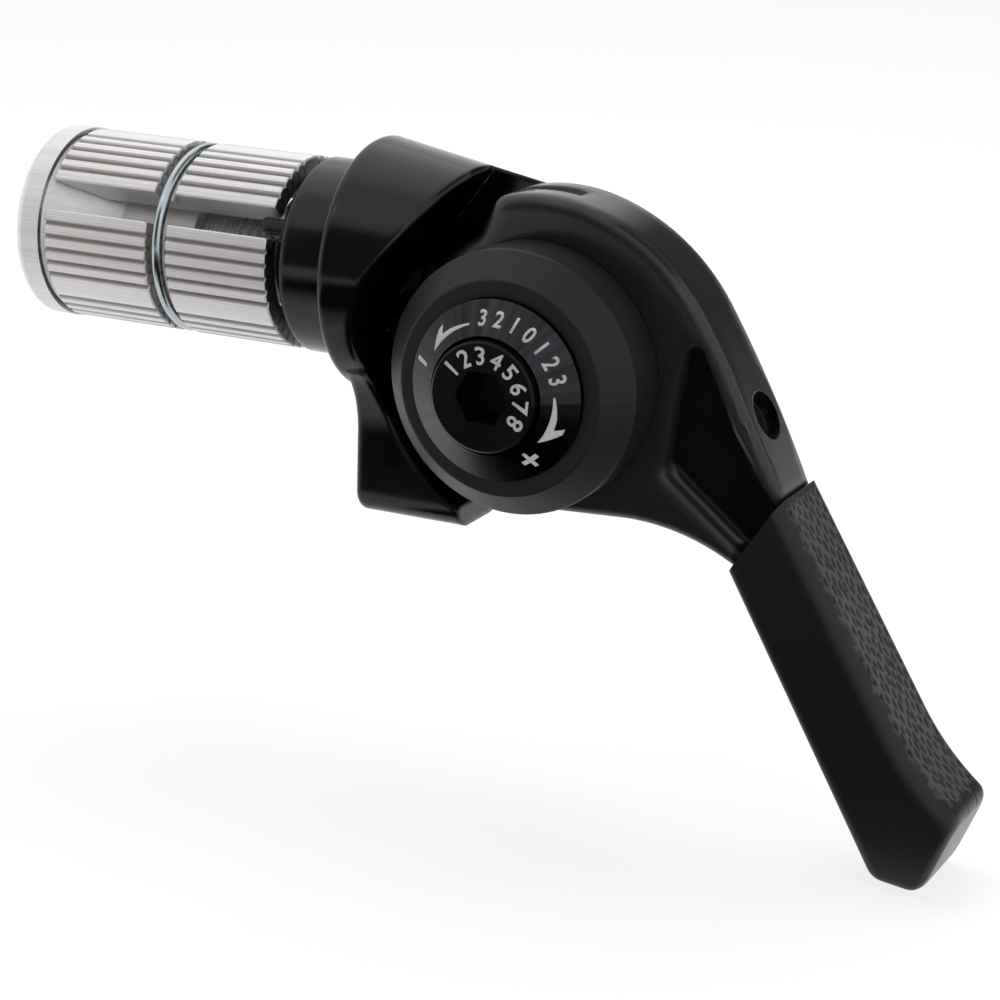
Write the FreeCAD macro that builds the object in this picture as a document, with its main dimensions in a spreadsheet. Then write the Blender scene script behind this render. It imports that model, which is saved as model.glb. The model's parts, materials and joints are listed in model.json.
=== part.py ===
import FreeCAD, Part
import math
import os

import Sketcher
from FreeCAD import Placement, Rotation, Vector

# Bar-end lever shifter, in millimetres and degrees.
# Origin: plug axis at the face where the handlebar end butts.
# X runs from the plug to the lever, the dial faces -Y and Z is up.

DOC = FreeCAD.newDocument("bar_end_shifter")
SHEET = DOC.addObject("Spreadsheet::Sheet", "Sizes")

SIZES = (
    # fits shared by several pieces
    ("free_gap", 0.35),
    ("run_fit", 0.05),
    ("face_gap", 0.15),
    # plug
    ("spigot_rad", 9.75),
    ("spigot_len", 5.83),
    ("spigot_edge", 0.4),
    ("cone_rad", 8.6),
    ("cone_tip_rad", 4.8),
    ("cone_angle", 45),
    ("key_width", 1.6),
    ("key_tip", 0.7),
    ("key_len", 3),
    ("slot_angle", 27.9),
    ("bolt_rad", 2.95),
    ("bolt_end", 35.6),
    ("bolt_head_rad", 5),
    ("bolt_head_len", 4.6),
    ("bolt_hex", 5),
    ("bolt_hex_deep", 3),
    ("bolt_floor", 2.6),
    ("bolt_washer_thick", 0.8),
    ("nut_rad", 9.75),
    ("nut_end", 36.5),
    ("nut_rim_len", 2.85),
    ("nut_cone_rad", 9.2),
    ("nut_cone_angle", 33.5),
    ("nut_edge", 0.8),
    ("nut_sleeve_end", 18.4),
    ("seg_left", 33),
    ("seg_right", 7.3),
    ("seg_rad", 9.65),
    ("seg_inner_rad", 6.2),
    ("seg_gap_angle", 19),
    ("seg_grooves", 5),
    ("rib_pitch", 8.2),
    ("rib_depth", 0.38),
    ("rib_groove", 0.62),
    ("closing", 1),
    ("ring_place", 19.9),
    ("ring_rad", 9.05),
    ("ring_wire_rad", 0.56),
    ("ring_groove_len", 2.3),
    # pod
    ("flange_rad", 12.5),
    ("flange_edge", 0.7),
    ("barrel_len", 20.7),
    ("barrel_end_rad", 9.1),
    ("pivot_x", 20.7),
    ("pivot_z", -6.95),
    ("scoop_rad", 17.5),
    ("scoop_wall_angle", 144),
    ("scoop_edge", 0.5),
    ("plate_front", 2.45),
    ("plate_back", 8.2),
    ("boss_rad", 12.6),
    ("foot_left", 0.75),
    ("foot_right", 12.3),
    ("foot_front", -5.3),
    ("foot_back", 4.2),
    ("foot_bottom", -24.6),
    ("foot_corner", 2.4),
    ("foot_edge", 0.8),
    ("foot_blend", 9),
    ("housing_rad", 2.1),
    ("housing_deep", 7),
    ("cable_hole_rad", 0.9),
    ("key_channel_rad", 3.2),
    # pivot stack
    ("stud_rad", 4),
    ("stud_front", -13.05),
    ("stud_head_rad", 6.4),
    ("stud_head_thick", 1.4),
    ("stud_bore_end", -3),
    ("pin_rad", 1.2),
    ("pin_orbit", 9.6),
    ("pin_angle", 200),
    ("pin_reach", 2),
    ("bushing_rad", 6),
    ("washer_rad", 7.2),
    ("washer_thick", 0.8),
    ("plate_room", 0.35),
    ("plate_thick", 1.2),
    ("detent_angle", 60),
    ("detent_pitch", 13.5),
    ("detent_count", 8),
    ("detent_hole_rad", 0.6),
    ("ball_rad", 1.5),
    ("spring_wire_rad", 0.2),
    ("spring_len", 1.9),
    ("spring_pitch", 0.75),
    # lever
    ("lever_front", -6.2),
    ("lever_back", 2),
    ("head_rad", 16.9),
    ("drum_rad", 13.8),
    ("step_angle", 107),
    ("step_foot_angle", 119),
    ("step_round", 2),
    ("head_end_angle", 75),
    ("shoulder_x", 16.781),
    ("shoulder_z", 7.178),
    ("shoulder_bend", 21.12),
    ("seam_top_x", 25.4),
    ("seam_top_z", -9),
    ("outer_bend", 126.5),
    ("seam_low_x", 20.9),
    ("seam_low_z", -16.1),
    ("under_x", 9.5),
    ("under_z", -13.3),
    ("under_bend", 22),
    ("lever_round", 1),
    ("groove_rad", 12),
    ("groove_width", 1.8),
    ("groove_start", 49),
    ("groove_sweep", 230),
    ("anchor_x", 23.3),
    ("anchor_z", -1.3),
    ("anchor_angle", 60),
    ("anchor_rad", 2.4),
    ("anchor_deep", 3),
    ("pocket_deep", 1.75),
    ("pocket_top_x", 15.7),
    ("pocket_top_z", 6.8),
    ("pocket_left_x", 14.25),
    ("pocket_left_z", -1.5),
    ("pocket_foot_x", 13.55),
    ("pocket_foot_z", -8.3),
    ("pocket_right_x", 20.45),
    ("pocket_right_z", -3.2),
    ("pocket_wall", 1.75),
    ("pocket_low_wall", 1.4),
    ("pocket_rim", 0.4),
    ("lever_travel", 94.5),
    ("stop_margin", 8),
    ("tang_angle", -60),
    ("tang_width", 4.6),
    ("tang_thick", 4.6),
    ("tang_reach", 28),
    ("tang_root_x", 22.6),
    ("tang_root_z", -11.2),
    # grip
    ("grip_front", -7.4),
    ("grip_back", 3.2),
    ("grip_gap", 0.15),
    ("grip_proud", 0.3),
    ("grip_toe_x", 36.8),
    ("grip_toe_z", -44.05),
    ("grip_heel_x", 41.7),
    ("grip_heel_z", -44.7),
    ("grip_toe_round", 2),
    ("grip_lip_x", 45),
    ("grip_lip_z", -36.6),
    ("grip_lip_round", 2),
    ("grip_waist_x", 38.2),
    ("grip_waist_z", -29.2),
    ("grip_flare_bend", 22),
    ("grip_round", 1.6),
    # dial
    ("dial_rad", 12.75),
    ("dial_gap", 0.25),
    ("dial_edge", 0.35),
    ("dial_side_end", -11.5),
    ("band_rad", 10.27),
    ("band_front", -14.2),
    ("dial_wall", 1.4),
    ("dial_hub_rad", 6.4),
    ("dial_roof", 1.7),
    ("dial_seat", -13.2),
    ("ring_cone_rad", 8.69),
    ("ring_edge_front", -14.8),
    ("ring_inner_front", -17.0),
    ("screw_rad", 5.3),
    ("screw_front", -17.75),
    ("screw_edge", 0.2),
    ("screw_shank_rad", 2.5),
    ("screw_end", -5),
    ("screw_hex", 4.8),
    ("screw_hex_deep", 2.6),
    ("spring_washer_thick", 0.6),
)

for row, (name, number) in enumerate(SIZES, start=1):
    SHEET.set("A%d" % row, name)
    SHEET.set("B%d" % row, str(number))
    SHEET.setAlias("B%d" % row, name)
DOC.recompute()


class Size:
    """A number together with the sheet expression that gives it."""

    def __init__(self, number, text):
        self.number = number
        self.text = text

    def __add__(self, other):
        other = size(other)
        return Size(self.number + other.number, "(%s + %s)" % (self.text, other.text))

    def __sub__(self, other):
        other = size(other)
        return Size(self.number - other.number, "(%s - %s)" % (self.text, other.text))

    def __mul__(self, other):
        other = size(other)
        return Size(self.number * other.number, "(%s * %s)" % (self.text, other.text))

    def __truediv__(self, other):
        other = size(other)
        return Size(self.number / other.number, "(%s / %s)" % (self.text, other.text))

    def __neg__(self):
        return Size(-self.number, "(0 - %s)" % self.text)


def size(value):
    """A plain number or a size, as a size."""
    if isinstance(value, Size):
        return value
    return Size(float(value), "(%s)" % float(value))


def s(name):
    """The sheet's size of that name."""
    return Size(float(SHEET.get(name)), "Sizes." + name)


def cos_of(angle):
    angle = size(angle)
    return Size(math.cos(math.radians(angle.number)), "cos(%s)" % angle.text)


def sin_of(angle):
    angle = size(angle)
    return Size(math.sin(math.radians(angle.number)), "sin(%s)" % angle.text)


def tan_of(angle):
    angle = size(angle)
    return Size(math.tan(math.radians(angle.number)), "tan(%s)" % angle.text)


def root_of(value):
    return Size(math.sqrt(value.number), "sqrt(%s)" % value.text)


def polar(radius, angle, x=0, z=0):
    """The point at a radius and angle about (x, z)."""
    return size(x) + size(radius) * cos_of(angle), size(z) + size(radius) * sin_of(angle)


# Building blocks

PARTS = []
NEAR = 0.01
SEAM_REACH = 2


def new_body(label, base=None, turn=None):
    """A body placed at a base point, turned about an axis by an angle."""
    body = DOC.addObject("PartDesign::Body", label)
    body.Label = label
    if turn:
        axis, angle = turn
        body.Placement = Placement(Vector(), Rotation(axis, angle.number))
        body.setExpression("Placement.Rotation.Angle", angle.text)
    for letter, value in zip("xyz", base or ()):
        body.setExpression("Placement.Base." + letter, size(value).text)
    PARTS.append(body)
    return body


def pivot_body(label):
    """A body whose own origin lies on the pivot axis."""
    return new_body(label, (s("pivot_x"), 0, s("pivot_z")))


def new_sketch(body, plane, name, shift=None, turn=None):
    """A sketch on one of the body's own planes, shifted and turned."""
    sketch = body.newObject("Sketcher::SketchObject", name)
    support = [item for item in body.Origin.OriginFeatures if item.Role == plane][0]
    sketch.AttachmentSupport = (support, [""])
    sketch.MapMode = "FlatFace"
    if turn:
        axis, angle = turn
        sketch.AttachmentOffset = Placement(Vector(), Rotation(axis, size(angle).number))
        sketch.setExpression("AttachmentOffset.Rotation.Angle", size(angle).text)
    for letter, value in zip("xyz", shift or ()):
        sketch.setExpression("AttachmentOffset.Base." + letter, size(value).text)
    return sketch


def arc_between(start, end, radius, side):
    """Arc of a radius from start to end, bulging to the left (1) or right (-1)."""
    chord = end - start
    half = chord.Length / 2
    left = Vector(-chord.y, chord.x, 0).normalize()
    rise = radius - math.sqrt(max(radius * radius - half * half, 0))
    middle = (start + end) / 2 + left * (rise * side)
    return Part.Arc(start, middle, end)


def tie(sketch, kind, geo, spot, value):
    """Hold one coordinate of a point, measured from the sketch's origin."""
    index = sketch.addConstraint(Sketcher.Constraint(kind, -1, 1, geo, spot, value.number))
    sketch.setExpression("Constraints[%d]" % index, value.text)


def hold_radius(sketch, geo, value):
    index = sketch.addConstraint(Sketcher.Constraint("Radius", geo, value.number))
    sketch.setExpression("Constraints[%d]" % index, value.text)


def outline(sketch, corners, bends=None):
    """Closed outline; bends maps an edge number to its radius and bulge side."""
    bends = bends or {}
    corners = [(size(x), size(y)) for x, y in corners]
    spots = [Vector(x.number, y.number, 0) for x, y in corners]
    edges = []
    for number, start in enumerate(spots):
        end = spots[(number + 1) % len(spots)]
        if number in bends:
            radius, side = bends[number]
            curve = arc_between(start, end, radius.number, side)
        else:
            curve = Part.LineSegment(start, end)
        geo = sketch.addGeometry(curve, False)
        ahead = sketch.getPoint(geo, 1).distanceToPoint(start) < 1e-6
        edges.append((geo, 1 if ahead else 2, 2 if ahead else 1))
    for number, (x, y) in enumerate(corners):
        geo, first, _ = edges[number]
        before, _, last = edges[number - 1]
        sketch.addConstraint(Sketcher.Constraint("Coincident", before, last, geo, first))
        tie(sketch, "DistanceX", geo, first, x)
        tie(sketch, "DistanceY", geo, first, y)
    for number, (radius, _) in bends.items():
        hold_radius(sketch, edges[number][0], radius)


def circle(sketch, x, y, radius):
    """Full circle at a point."""
    x, y, radius = size(x), size(y), size(radius)
    shape = Part.Circle(Vector(x.number, y.number, 0), Vector(0, 0, 1), radius.number)
    geo = sketch.addGeometry(shape, False)
    tie(sketch, "DistanceX", geo, 3, x)
    tie(sketch, "DistanceY", geo, 3, y)
    hold_radius(sketch, geo, radius)


def box(sketch, left, right, low, high):
    """Upright rectangle."""
    outline(sketch, ((left, low), (right, low), (right, high), (left, high)))


def hexagon(sketch, across):
    """Hexagon about the sketch's origin, by its width across flats."""
    radius = across / math.sqrt(3)
    outline(sketch, [polar(radius, 60 * corner) for corner in range(6)])


def extrude(body, kind, sketch, name, length, flip=False):
    """Pad or Pocket of a length; no length means through everything."""
    feature = body.newObject("PartDesign::" + kind, name)
    feature.Profile = sketch
    if length is None:
        feature.Type = "ThroughAll"
    else:
        feature.setExpression("Length", size(length).text)
    feature.Reversed = flip
    sketch.Visibility = False
    return feature


def turned(body, kind, sketch, name, axis, angle=360):
    """Revolution or Groove about the sketch's own H_Axis or V_Axis."""
    feature = body.newObject("PartDesign::" + kind, name)
    feature.Profile = sketch
    feature.ReferenceAxis = (sketch, [axis])
    feature.setExpression("Angle", size(angle).text)
    return feature


def repeated(body, feature, name, role, angle, count):
    """Polar pattern of a feature about one of the body's own axes."""
    pattern = body.newObject("PartDesign::PolarPattern", name)
    pattern.Originals = [feature]
    axis = [item for item in body.Origin.OriginFeatures if item.Role == role][0]
    pattern.Axis = (axis, [""])
    pattern.setExpression("Angle", size(angle).text)
    pattern.setExpression("Occurrences", size(count).text)
    body.Tip = pattern
    return pattern


def rounded(body, base, name, radius, wanted):
    """Fillet on the edges of a feature that the test accepts."""
    DOC.recompute()
    names = ["Edge%d" % number for number, edge in enumerate(base.Shape.Edges, 1) if wanted(edge)]
    feature = body.newObject("PartDesign::Fillet", name)
    feature.Base = (base, names)
    feature.setExpression("Radius", radius.text)
    return feature


def edge_middle(edge):
    return edge.valueAt((edge.FirstParameter + edge.LastParameter) / 2)


def upright_at(points):
    """Test for edges along Y that stand on one of the points."""
    spots = [Vector(x.number, 0, z.number) for x, z in points]

    def wanted(edge):
        middle = edge_middle(edge)
        flat = Vector(middle.x, 0, middle.z)
        return any(flat.distanceToPoint(spot) < NEAR for spot in spots)

    return wanted


def rim_test(ends, seam):
    """Test for edges round the two end faces, away from the seam."""

    def wanted(edge):
        middle = edge_middle(edge)
        flat = min(abs(middle.y - end) for end in ends) < NEAR
        return flat and Vector(middle.x, 0, middle.z).distanceToPoint(seam) > SEAM_REACH

    return wanted


def on_lines(points, level):
    """Test for edges at one level of Y on the straight lines from point to point."""
    spots = [Vector(x.number, level.number, z.number) for x, z in points]
    lines = [(spot, ahead - spot) for spot, ahead in zip(spots, spots[1:])]

    def wanted(edge):
        middle = edge_middle(edge)
        return any(middle.distanceToLine(spot, step) < NEAR for spot, step in lines)

    return wanted


def collar(body, axis, inner, outer, low, high):
    """Plain ring about X or Y between two places on that axis."""
    sketch = new_sketch(body, "XY_Plane", body.Label + "_section")
    if axis == "X":
        box(sketch, low, high, inner, outer)
        return turned(body, "Revolution", sketch, body.Label + "_ring", "H_Axis")
    box(sketch, inner, outer, low, high)
    return turned(body, "Revolution", sketch, body.Label + "_ring", "V_Axis")


TURN_X = Vector(1, 0, 0)
TURN_Y = Vector(0, 1, 0)
TURN_Z = Vector(0, 0, 1)
FULL_TURN = 360
SLOTS = 3

# Values that several pieces share

cone_slope = tan_of(s("cone_angle"))
cone_len = (s("cone_rad") - s("cone_tip_rad")) / cone_slope
cone_skin = s("free_gap") / cos_of(s("cone_angle"))
pod_cone_end = -(s("spigot_len") + cone_len)
nut_shoulder = s("nut_rim_len") - s("nut_end")
nut_slope = tan_of(s("nut_cone_angle"))
nut_skin = s("free_gap") / cos_of(s("nut_cone_angle"))
nut_cone_end = nut_shoulder + (s("nut_cone_rad") - s("cone_tip_rad")) / nut_slope
bolt_bore_rad = s("bolt_rad") + s("free_gap")
head_floor = -s("bolt_floor")
head_seat = head_floor + s("bolt_washer_thick")
head_top = head_seat + s("bolt_head_len")
groove_mid = (s("lever_front") + s("lever_back")) / 2
cable_rad = s("groove_rad") + s("cable_hole_rad")
cable_z = s("pivot_z") - cable_rad
slot_turn = size(180) - s("slot_angle")
pin_place = polar(s("pin_orbit"), s("pin_angle"))
dial_back = s("lever_front") - s("dial_gap")
index_back = dial_back - s("face_gap") / 2
index_front = index_back - s("plate_thick")
bushing_front = index_back + s("face_gap") * 2 + s("washer_thick")
bushing_back = s("plate_front") - s("face_gap") * 2 - s("washer_thick")
detent_orbit = s("washer_rad") + s("free_gap") + s("ball_rad")
ball_mid = index_back + s("free_gap") + s("ball_rad")
ball_bore_rad = s("ball_rad") + s("run_fit")
ball_bore_end = ball_mid + s("ball_rad") + s("spring_len") + s("spring_wire_rad") * 2


def key_ribs(body):
    """Three ribs with round tips that stand in the slots between the segments."""
    place = (0, 0, -s("spigot_len"))
    sketch = new_sketch(body, "YZ_Plane", "key_section", place, (TURN_Z, slot_turn))
    half = s("key_width") / 2
    box(sketch, s("cone_tip_rad") - s("free_gap"), s("cone_rad"), -half, half)
    rib = extrude(body, "Pad", sketch, "key_rib", s("key_len"), True)
    ribs = repeated(body, rib, "key_ribs", "X_Axis", FULL_TURN, SLOTS)
    tip = (-(s("spigot_len") + s("key_len"))).number

    def tip_edge(edge):
        middle = edge_middle(edge)
        outward = Vector(0, middle.y, middle.z).normalize()
        along = abs(edge.tangentAt(edge.FirstParameter).dot(outward))
        return abs(middle.x - tip) < NEAR and along > 1 - NEAR * 2

    rounded(body, ribs, "key_tips", s("key_tip"), tip_edge)


# Pod

def make_pod():
    pod = new_body("pod_body")
    sketch = new_sketch(pod, "XY_Plane", "pod_section")
    edge = s("spigot_edge")
    corners = (
        (pod_cone_end, 0),
        (pod_cone_end, s("cone_tip_rad")),
        (-s("spigot_len"), s("cone_rad")),
        (-s("spigot_len"), s("spigot_rad") - edge),
        (edge - s("spigot_len"), s("spigot_rad")),
        (0, s("spigot_rad")),
        (0, s("flange_rad") - s("flange_edge")),
        (s("flange_edge"), s("flange_rad")),
        (s("barrel_len"), s("barrel_end_rad")),
        (s("barrel_len"), 0),
    )
    outline(sketch, corners, {6: (s("flange_edge"), 1)})
    turned(pod, "Revolution", sketch, "pod_barrel", "H_Axis")

    # foot that takes the end of the cable housing
    sketch = new_sketch(pod, "YZ_Plane", "foot_section", (0, 0, s("foot_left")))
    reach = s("flange_rad") + s("foot_blend")
    blend_y = s("foot_front") - s("foot_blend")
    blend_z = -root_of(reach * reach - blend_y * blend_y)
    share = s("flange_rad") / reach
    corner = s("foot_corner")
    web_top = -s("flange_rad") / 4
    corners = (
        (blend_y * share, blend_z * share),
        (s("foot_front"), blend_z),
        (s("foot_front"), s("foot_bottom") + corner),
        (s("foot_front") + corner, s("foot_bottom")),
        (s("foot_back") - corner, s("foot_bottom")),
        (s("foot_back"), s("foot_bottom") + corner),
        (s("foot_back"), web_top),
        (s("foot_front"), web_top),
    )
    outline(sketch, corners, {0: (s("foot_blend"), 1), 2: (corner, -1), 4: (corner, -1)})
    foot = extrude(pod, "Pad", sketch, "foot", s("foot_right") - s("foot_left"))
    left, top = s("foot_left").number, blend_z.number

    def foot_rim(edge):
        middle = edge_middle(edge)
        return abs(middle.x - left) < NEAR and middle.z < top

    rounded(pod, foot, "foot_rim", s("foot_edge"), foot_rim)

    # back plate round the pivot
    sketch = new_sketch(pod, "XZ_Plane", "plate_outline", (0, 0, -s("plate_back")))
    boss = s("boss_rad")
    low = s("pivot_z") - boss
    corners = (
        (s("foot_left") + corner, s("pivot_z") + boss),
        (s("foot_left") + corner, low),
        (s("pivot_x"), low),
        (s("pivot_x") + boss, s("pivot_z")),
        (s("pivot_x"), s("pivot_z") + boss),
    )
    outline(sketch, corners, {2: (boss, -1), 3: (boss, -1)})
    extrude(pod, "Pad", sketch, "plate", s("plate_back") - s("plate_front"))

    # room for the lever head
    sketch = new_sketch(pod, "XZ_Plane", "scoop_outline", (0, 0, -s("plate_front")))
    scoop = s("scoop_rad")
    wall = s("scoop_wall_angle")
    span = scoop * 2
    foot_x, foot_z = polar(scoop, wall, s("pivot_x"), s("pivot_z"))
    top_x = foot_x + span * sin_of(wall)
    top_z = foot_z - span * cos_of(wall)
    corners = (
        (foot_x, foot_z),
        (s("pivot_x") - scoop, s("pivot_z")),
        (s("pivot_x"), s("pivot_z") - scoop),
        (s("pivot_x"), s("pivot_z") - span),
        (s("pivot_x") + span, s("pivot_z") - span),
        (s("pivot_x") + span, top_z),
        (top_x, top_z),
    )
    outline(sketch, corners, {0: (scoop, -1), 1: (scoop, -1)})
    pocket = extrude(pod, "Pocket", sketch, "scoop", None, True)
    pivot = Vector(s("pivot_x").number, 0, s("pivot_z").number)
    facing = Vector(cos_of(wall).number, 0, sin_of(wall).number)

    def scoop_rim(edge):
        middle = edge_middle(edge)
        flat = Vector(middle.x, 0, middle.z) - pivot
        off_wall = min(abs(flat.Length - scoop.number), abs(flat.dot(facing) - scoop.number))
        across = edge.tangentAt(edge.FirstParameter).dot(TURN_Y)
        return off_wall < NEAR and middle.y < s("foot_front").number / 2 and abs(across) < 1 - NEAR

    rounded(pod, pocket, "scoop_rim", s("scoop_edge"), scoop_rim)

    # bolt bore, head seat and the way in for its key
    sketch = new_sketch(pod, "YZ_Plane", "bolt_bore_outline", (0, 0, head_floor))
    circle(sketch, 0, 0, bolt_bore_rad)
    extrude(pod, "Pocket", sketch, "bolt_bore", None)
    sketch = new_sketch(pod, "YZ_Plane", "head_seat_outline", (0, 0, head_floor))
    circle(sketch, 0, 0, s("bolt_head_rad") + s("free_gap"))
    extrude(pod, "Pocket", sketch, "head_seat", s("bolt_floor") + s("flange_rad") / 2, True)
    sketch = new_sketch(pod, "YZ_Plane", "key_way_outline", (0, 0, head_floor))
    circle(sketch, 0, 0, s("key_channel_rad"))
    extrude(pod, "Pocket", sketch, "key_way", None, True)

    # housing stop and cable hole
    stop = s("foot_left") + s("housing_deep")
    sketch = new_sketch(pod, "YZ_Plane", "housing_outline", (0, 0, stop))
    circle(sketch, groove_mid, cable_z, s("housing_rad"))
    extrude(pod, "Pocket", sketch, "housing_stop", None)
    sketch = new_sketch(pod, "YZ_Plane", "cable_outline", (0, 0, stop))
    circle(sketch, groove_mid, cable_z, s("cable_hole_rad"))
    extrude(pod, "Pocket", sketch, "cable_hole", None, True)

    # pivot and stop pin bores
    sketch = new_sketch(pod, "XZ_Plane", "pivot_outline", (0, 0, -s("plate_front")))
    circle(sketch, s("pivot_x"), s("pivot_z"), s("stud_rad"))
    circle(sketch, s("pivot_x") + pin_place[0], s("pivot_z") + pin_place[1], s("pin_rad"))
    extrude(pod, "Pocket", sketch, "pivot_bores", None)
    sketch = new_sketch(pod, "XZ_Plane", "stud_seat_outline", (0, 0, -s("plate_back")))
    circle(sketch, s("pivot_x"), s("pivot_z"), s("stud_head_rad") + s("free_gap"))
    extrude(pod, "Pocket", sketch, "stud_seat", None)
    key_ribs(pod)


def make_plug():
    washer = new_body("bolt_washer")
    collar(washer, "X", bolt_bore_rad, s("bolt_head_rad"), head_floor, head_seat)

    bolt = new_body("expander_bolt")
    sketch = new_sketch(bolt, "XY_Plane", "bolt_section")
    corners = (
        (-s("bolt_end"), 0),
        (-s("bolt_end"), s("bolt_rad")),
        (head_seat, s("bolt_rad")),
        (head_seat, s("bolt_head_rad")),
        (head_top, s("bolt_head_rad")),
        (head_top, 0),
    )
    outline(sketch, corners)
    turned(bolt, "Revolution", sketch, "bolt_solid", "H_Axis")
    sketch = new_sketch(bolt, "YZ_Plane", "bolt_hex_outline", (0, 0, head_top))
    hexagon(sketch, s("bolt_hex"))
    extrude(bolt, "Pocket", sketch, "bolt_socket", s("bolt_hex_deep"))

    nut = new_body("expander_nut")
    sketch = new_sketch(nut, "XY_Plane", "nut_section")
    bore = s("bolt_rad") + s("run_fit")
    edge = s("nut_edge")
    sleeve_end = -s("nut_sleeve_end")
    corners = (
        (-s("nut_end"), bore),
        (-s("nut_end"), s("nut_rad") - edge),
        (edge - s("nut_end"), s("nut_rad")),
        (nut_shoulder, s("nut_rad")),
        (nut_shoulder, s("nut_cone_rad")),
        (nut_cone_end, s("cone_tip_rad")),
        (sleeve_end, s("cone_tip_rad")),
        (sleeve_end, bore),
    )
    outline(sketch, corners, {1: (edge, 1)})
    turned(nut, "Revolution", sketch, "nut_solid", "H_Axis")

    for number in range(SLOTS):
        make_segment(number)

    ring = DOC.addObject("Part::Torus", "segment_ring")
    ring.Label = "segment_ring"
    ring.setExpression("Radius1", s("ring_rad").text)
    ring.setExpression("Radius2", s("ring_wire_rad").text)
    ring.Placement = Placement(Vector(), Rotation(TURN_Y, 90))
    ring.setExpression("Placement.Base.x", (-s("ring_place")).text)
    PARTS.append(ring)


def make_segment(number):
    """One of the three serrated shells, between two slots."""
    sweep = size(FULL_TURN / SLOTS) - s("seg_gap_angle")
    start = slot_turn + s("seg_gap_angle") / 2 + FULL_TURN / SLOTS * number
    body = new_body("grip_segment_%d" % (number + 1), None, (TURN_X, start))
    sketch = new_sketch(body, "XY_Plane", body.Label + "_section")
    left, right = -s("seg_left"), -s("seg_right")
    inner = s("seg_inner_rad")
    left_rad = s("nut_cone_rad") + nut_skin - (left - nut_shoulder) * nut_slope
    right_rad = s("cone_rad") + cone_skin + (right + s("spigot_len")) * cone_slope
    groove_low = -s("ring_place") - s("ring_groove_len") / 2
    groove_high = s("ring_groove_len") / 2 - s("ring_place")
    spread = s("closing") * nut_slope / (nut_slope + cone_slope) * cone_slope
    groove_rad = s("ring_rad") - s("ring_wire_rad") - spread - s("free_gap") / 2
    corners = (
        (left, left_rad),
        (left, s("seg_rad")),
        (groove_low, s("seg_rad")),
        (groove_low, groove_rad),
        (groove_high, groove_rad),
        (groove_high, s("seg_rad")),
        (right, s("seg_rad")),
        (right, right_rad),
        (right - (right_rad - inner) / cone_slope, inner),
        (left + (left_rad - inner) / nut_slope, inner),
    )
    outline(sketch, corners)
    turned(body, "Revolution", sketch, body.Label + "_shell", "H_Axis", sweep)
    pitch = s("rib_pitch")
    half = s("rib_groove") / 2
    rim = s("seg_rad") + s("rib_depth") / 2
    span = pitch * (s("seg_grooves") - 1)
    for side, first in (("a", pitch), ("b", sweep - pitch - span)):
        sketch = new_sketch(body, "YZ_Plane", "%s_rib_%s" % (body.Label, side), None, (TURN_Z, first))
        outline(sketch, ((rim, -half), (s("seg_rad") - s("rib_depth"), 0), (rim, half)))
        groove = extrude(body, "Pocket", sketch, "%s_groove_%s" % (body.Label, side), None)
        repeated(body, groove, "%s_ribs_%s" % (body.Label, side), "X_Axis", span, s("seg_grooves"))


# Pivot stack

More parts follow.
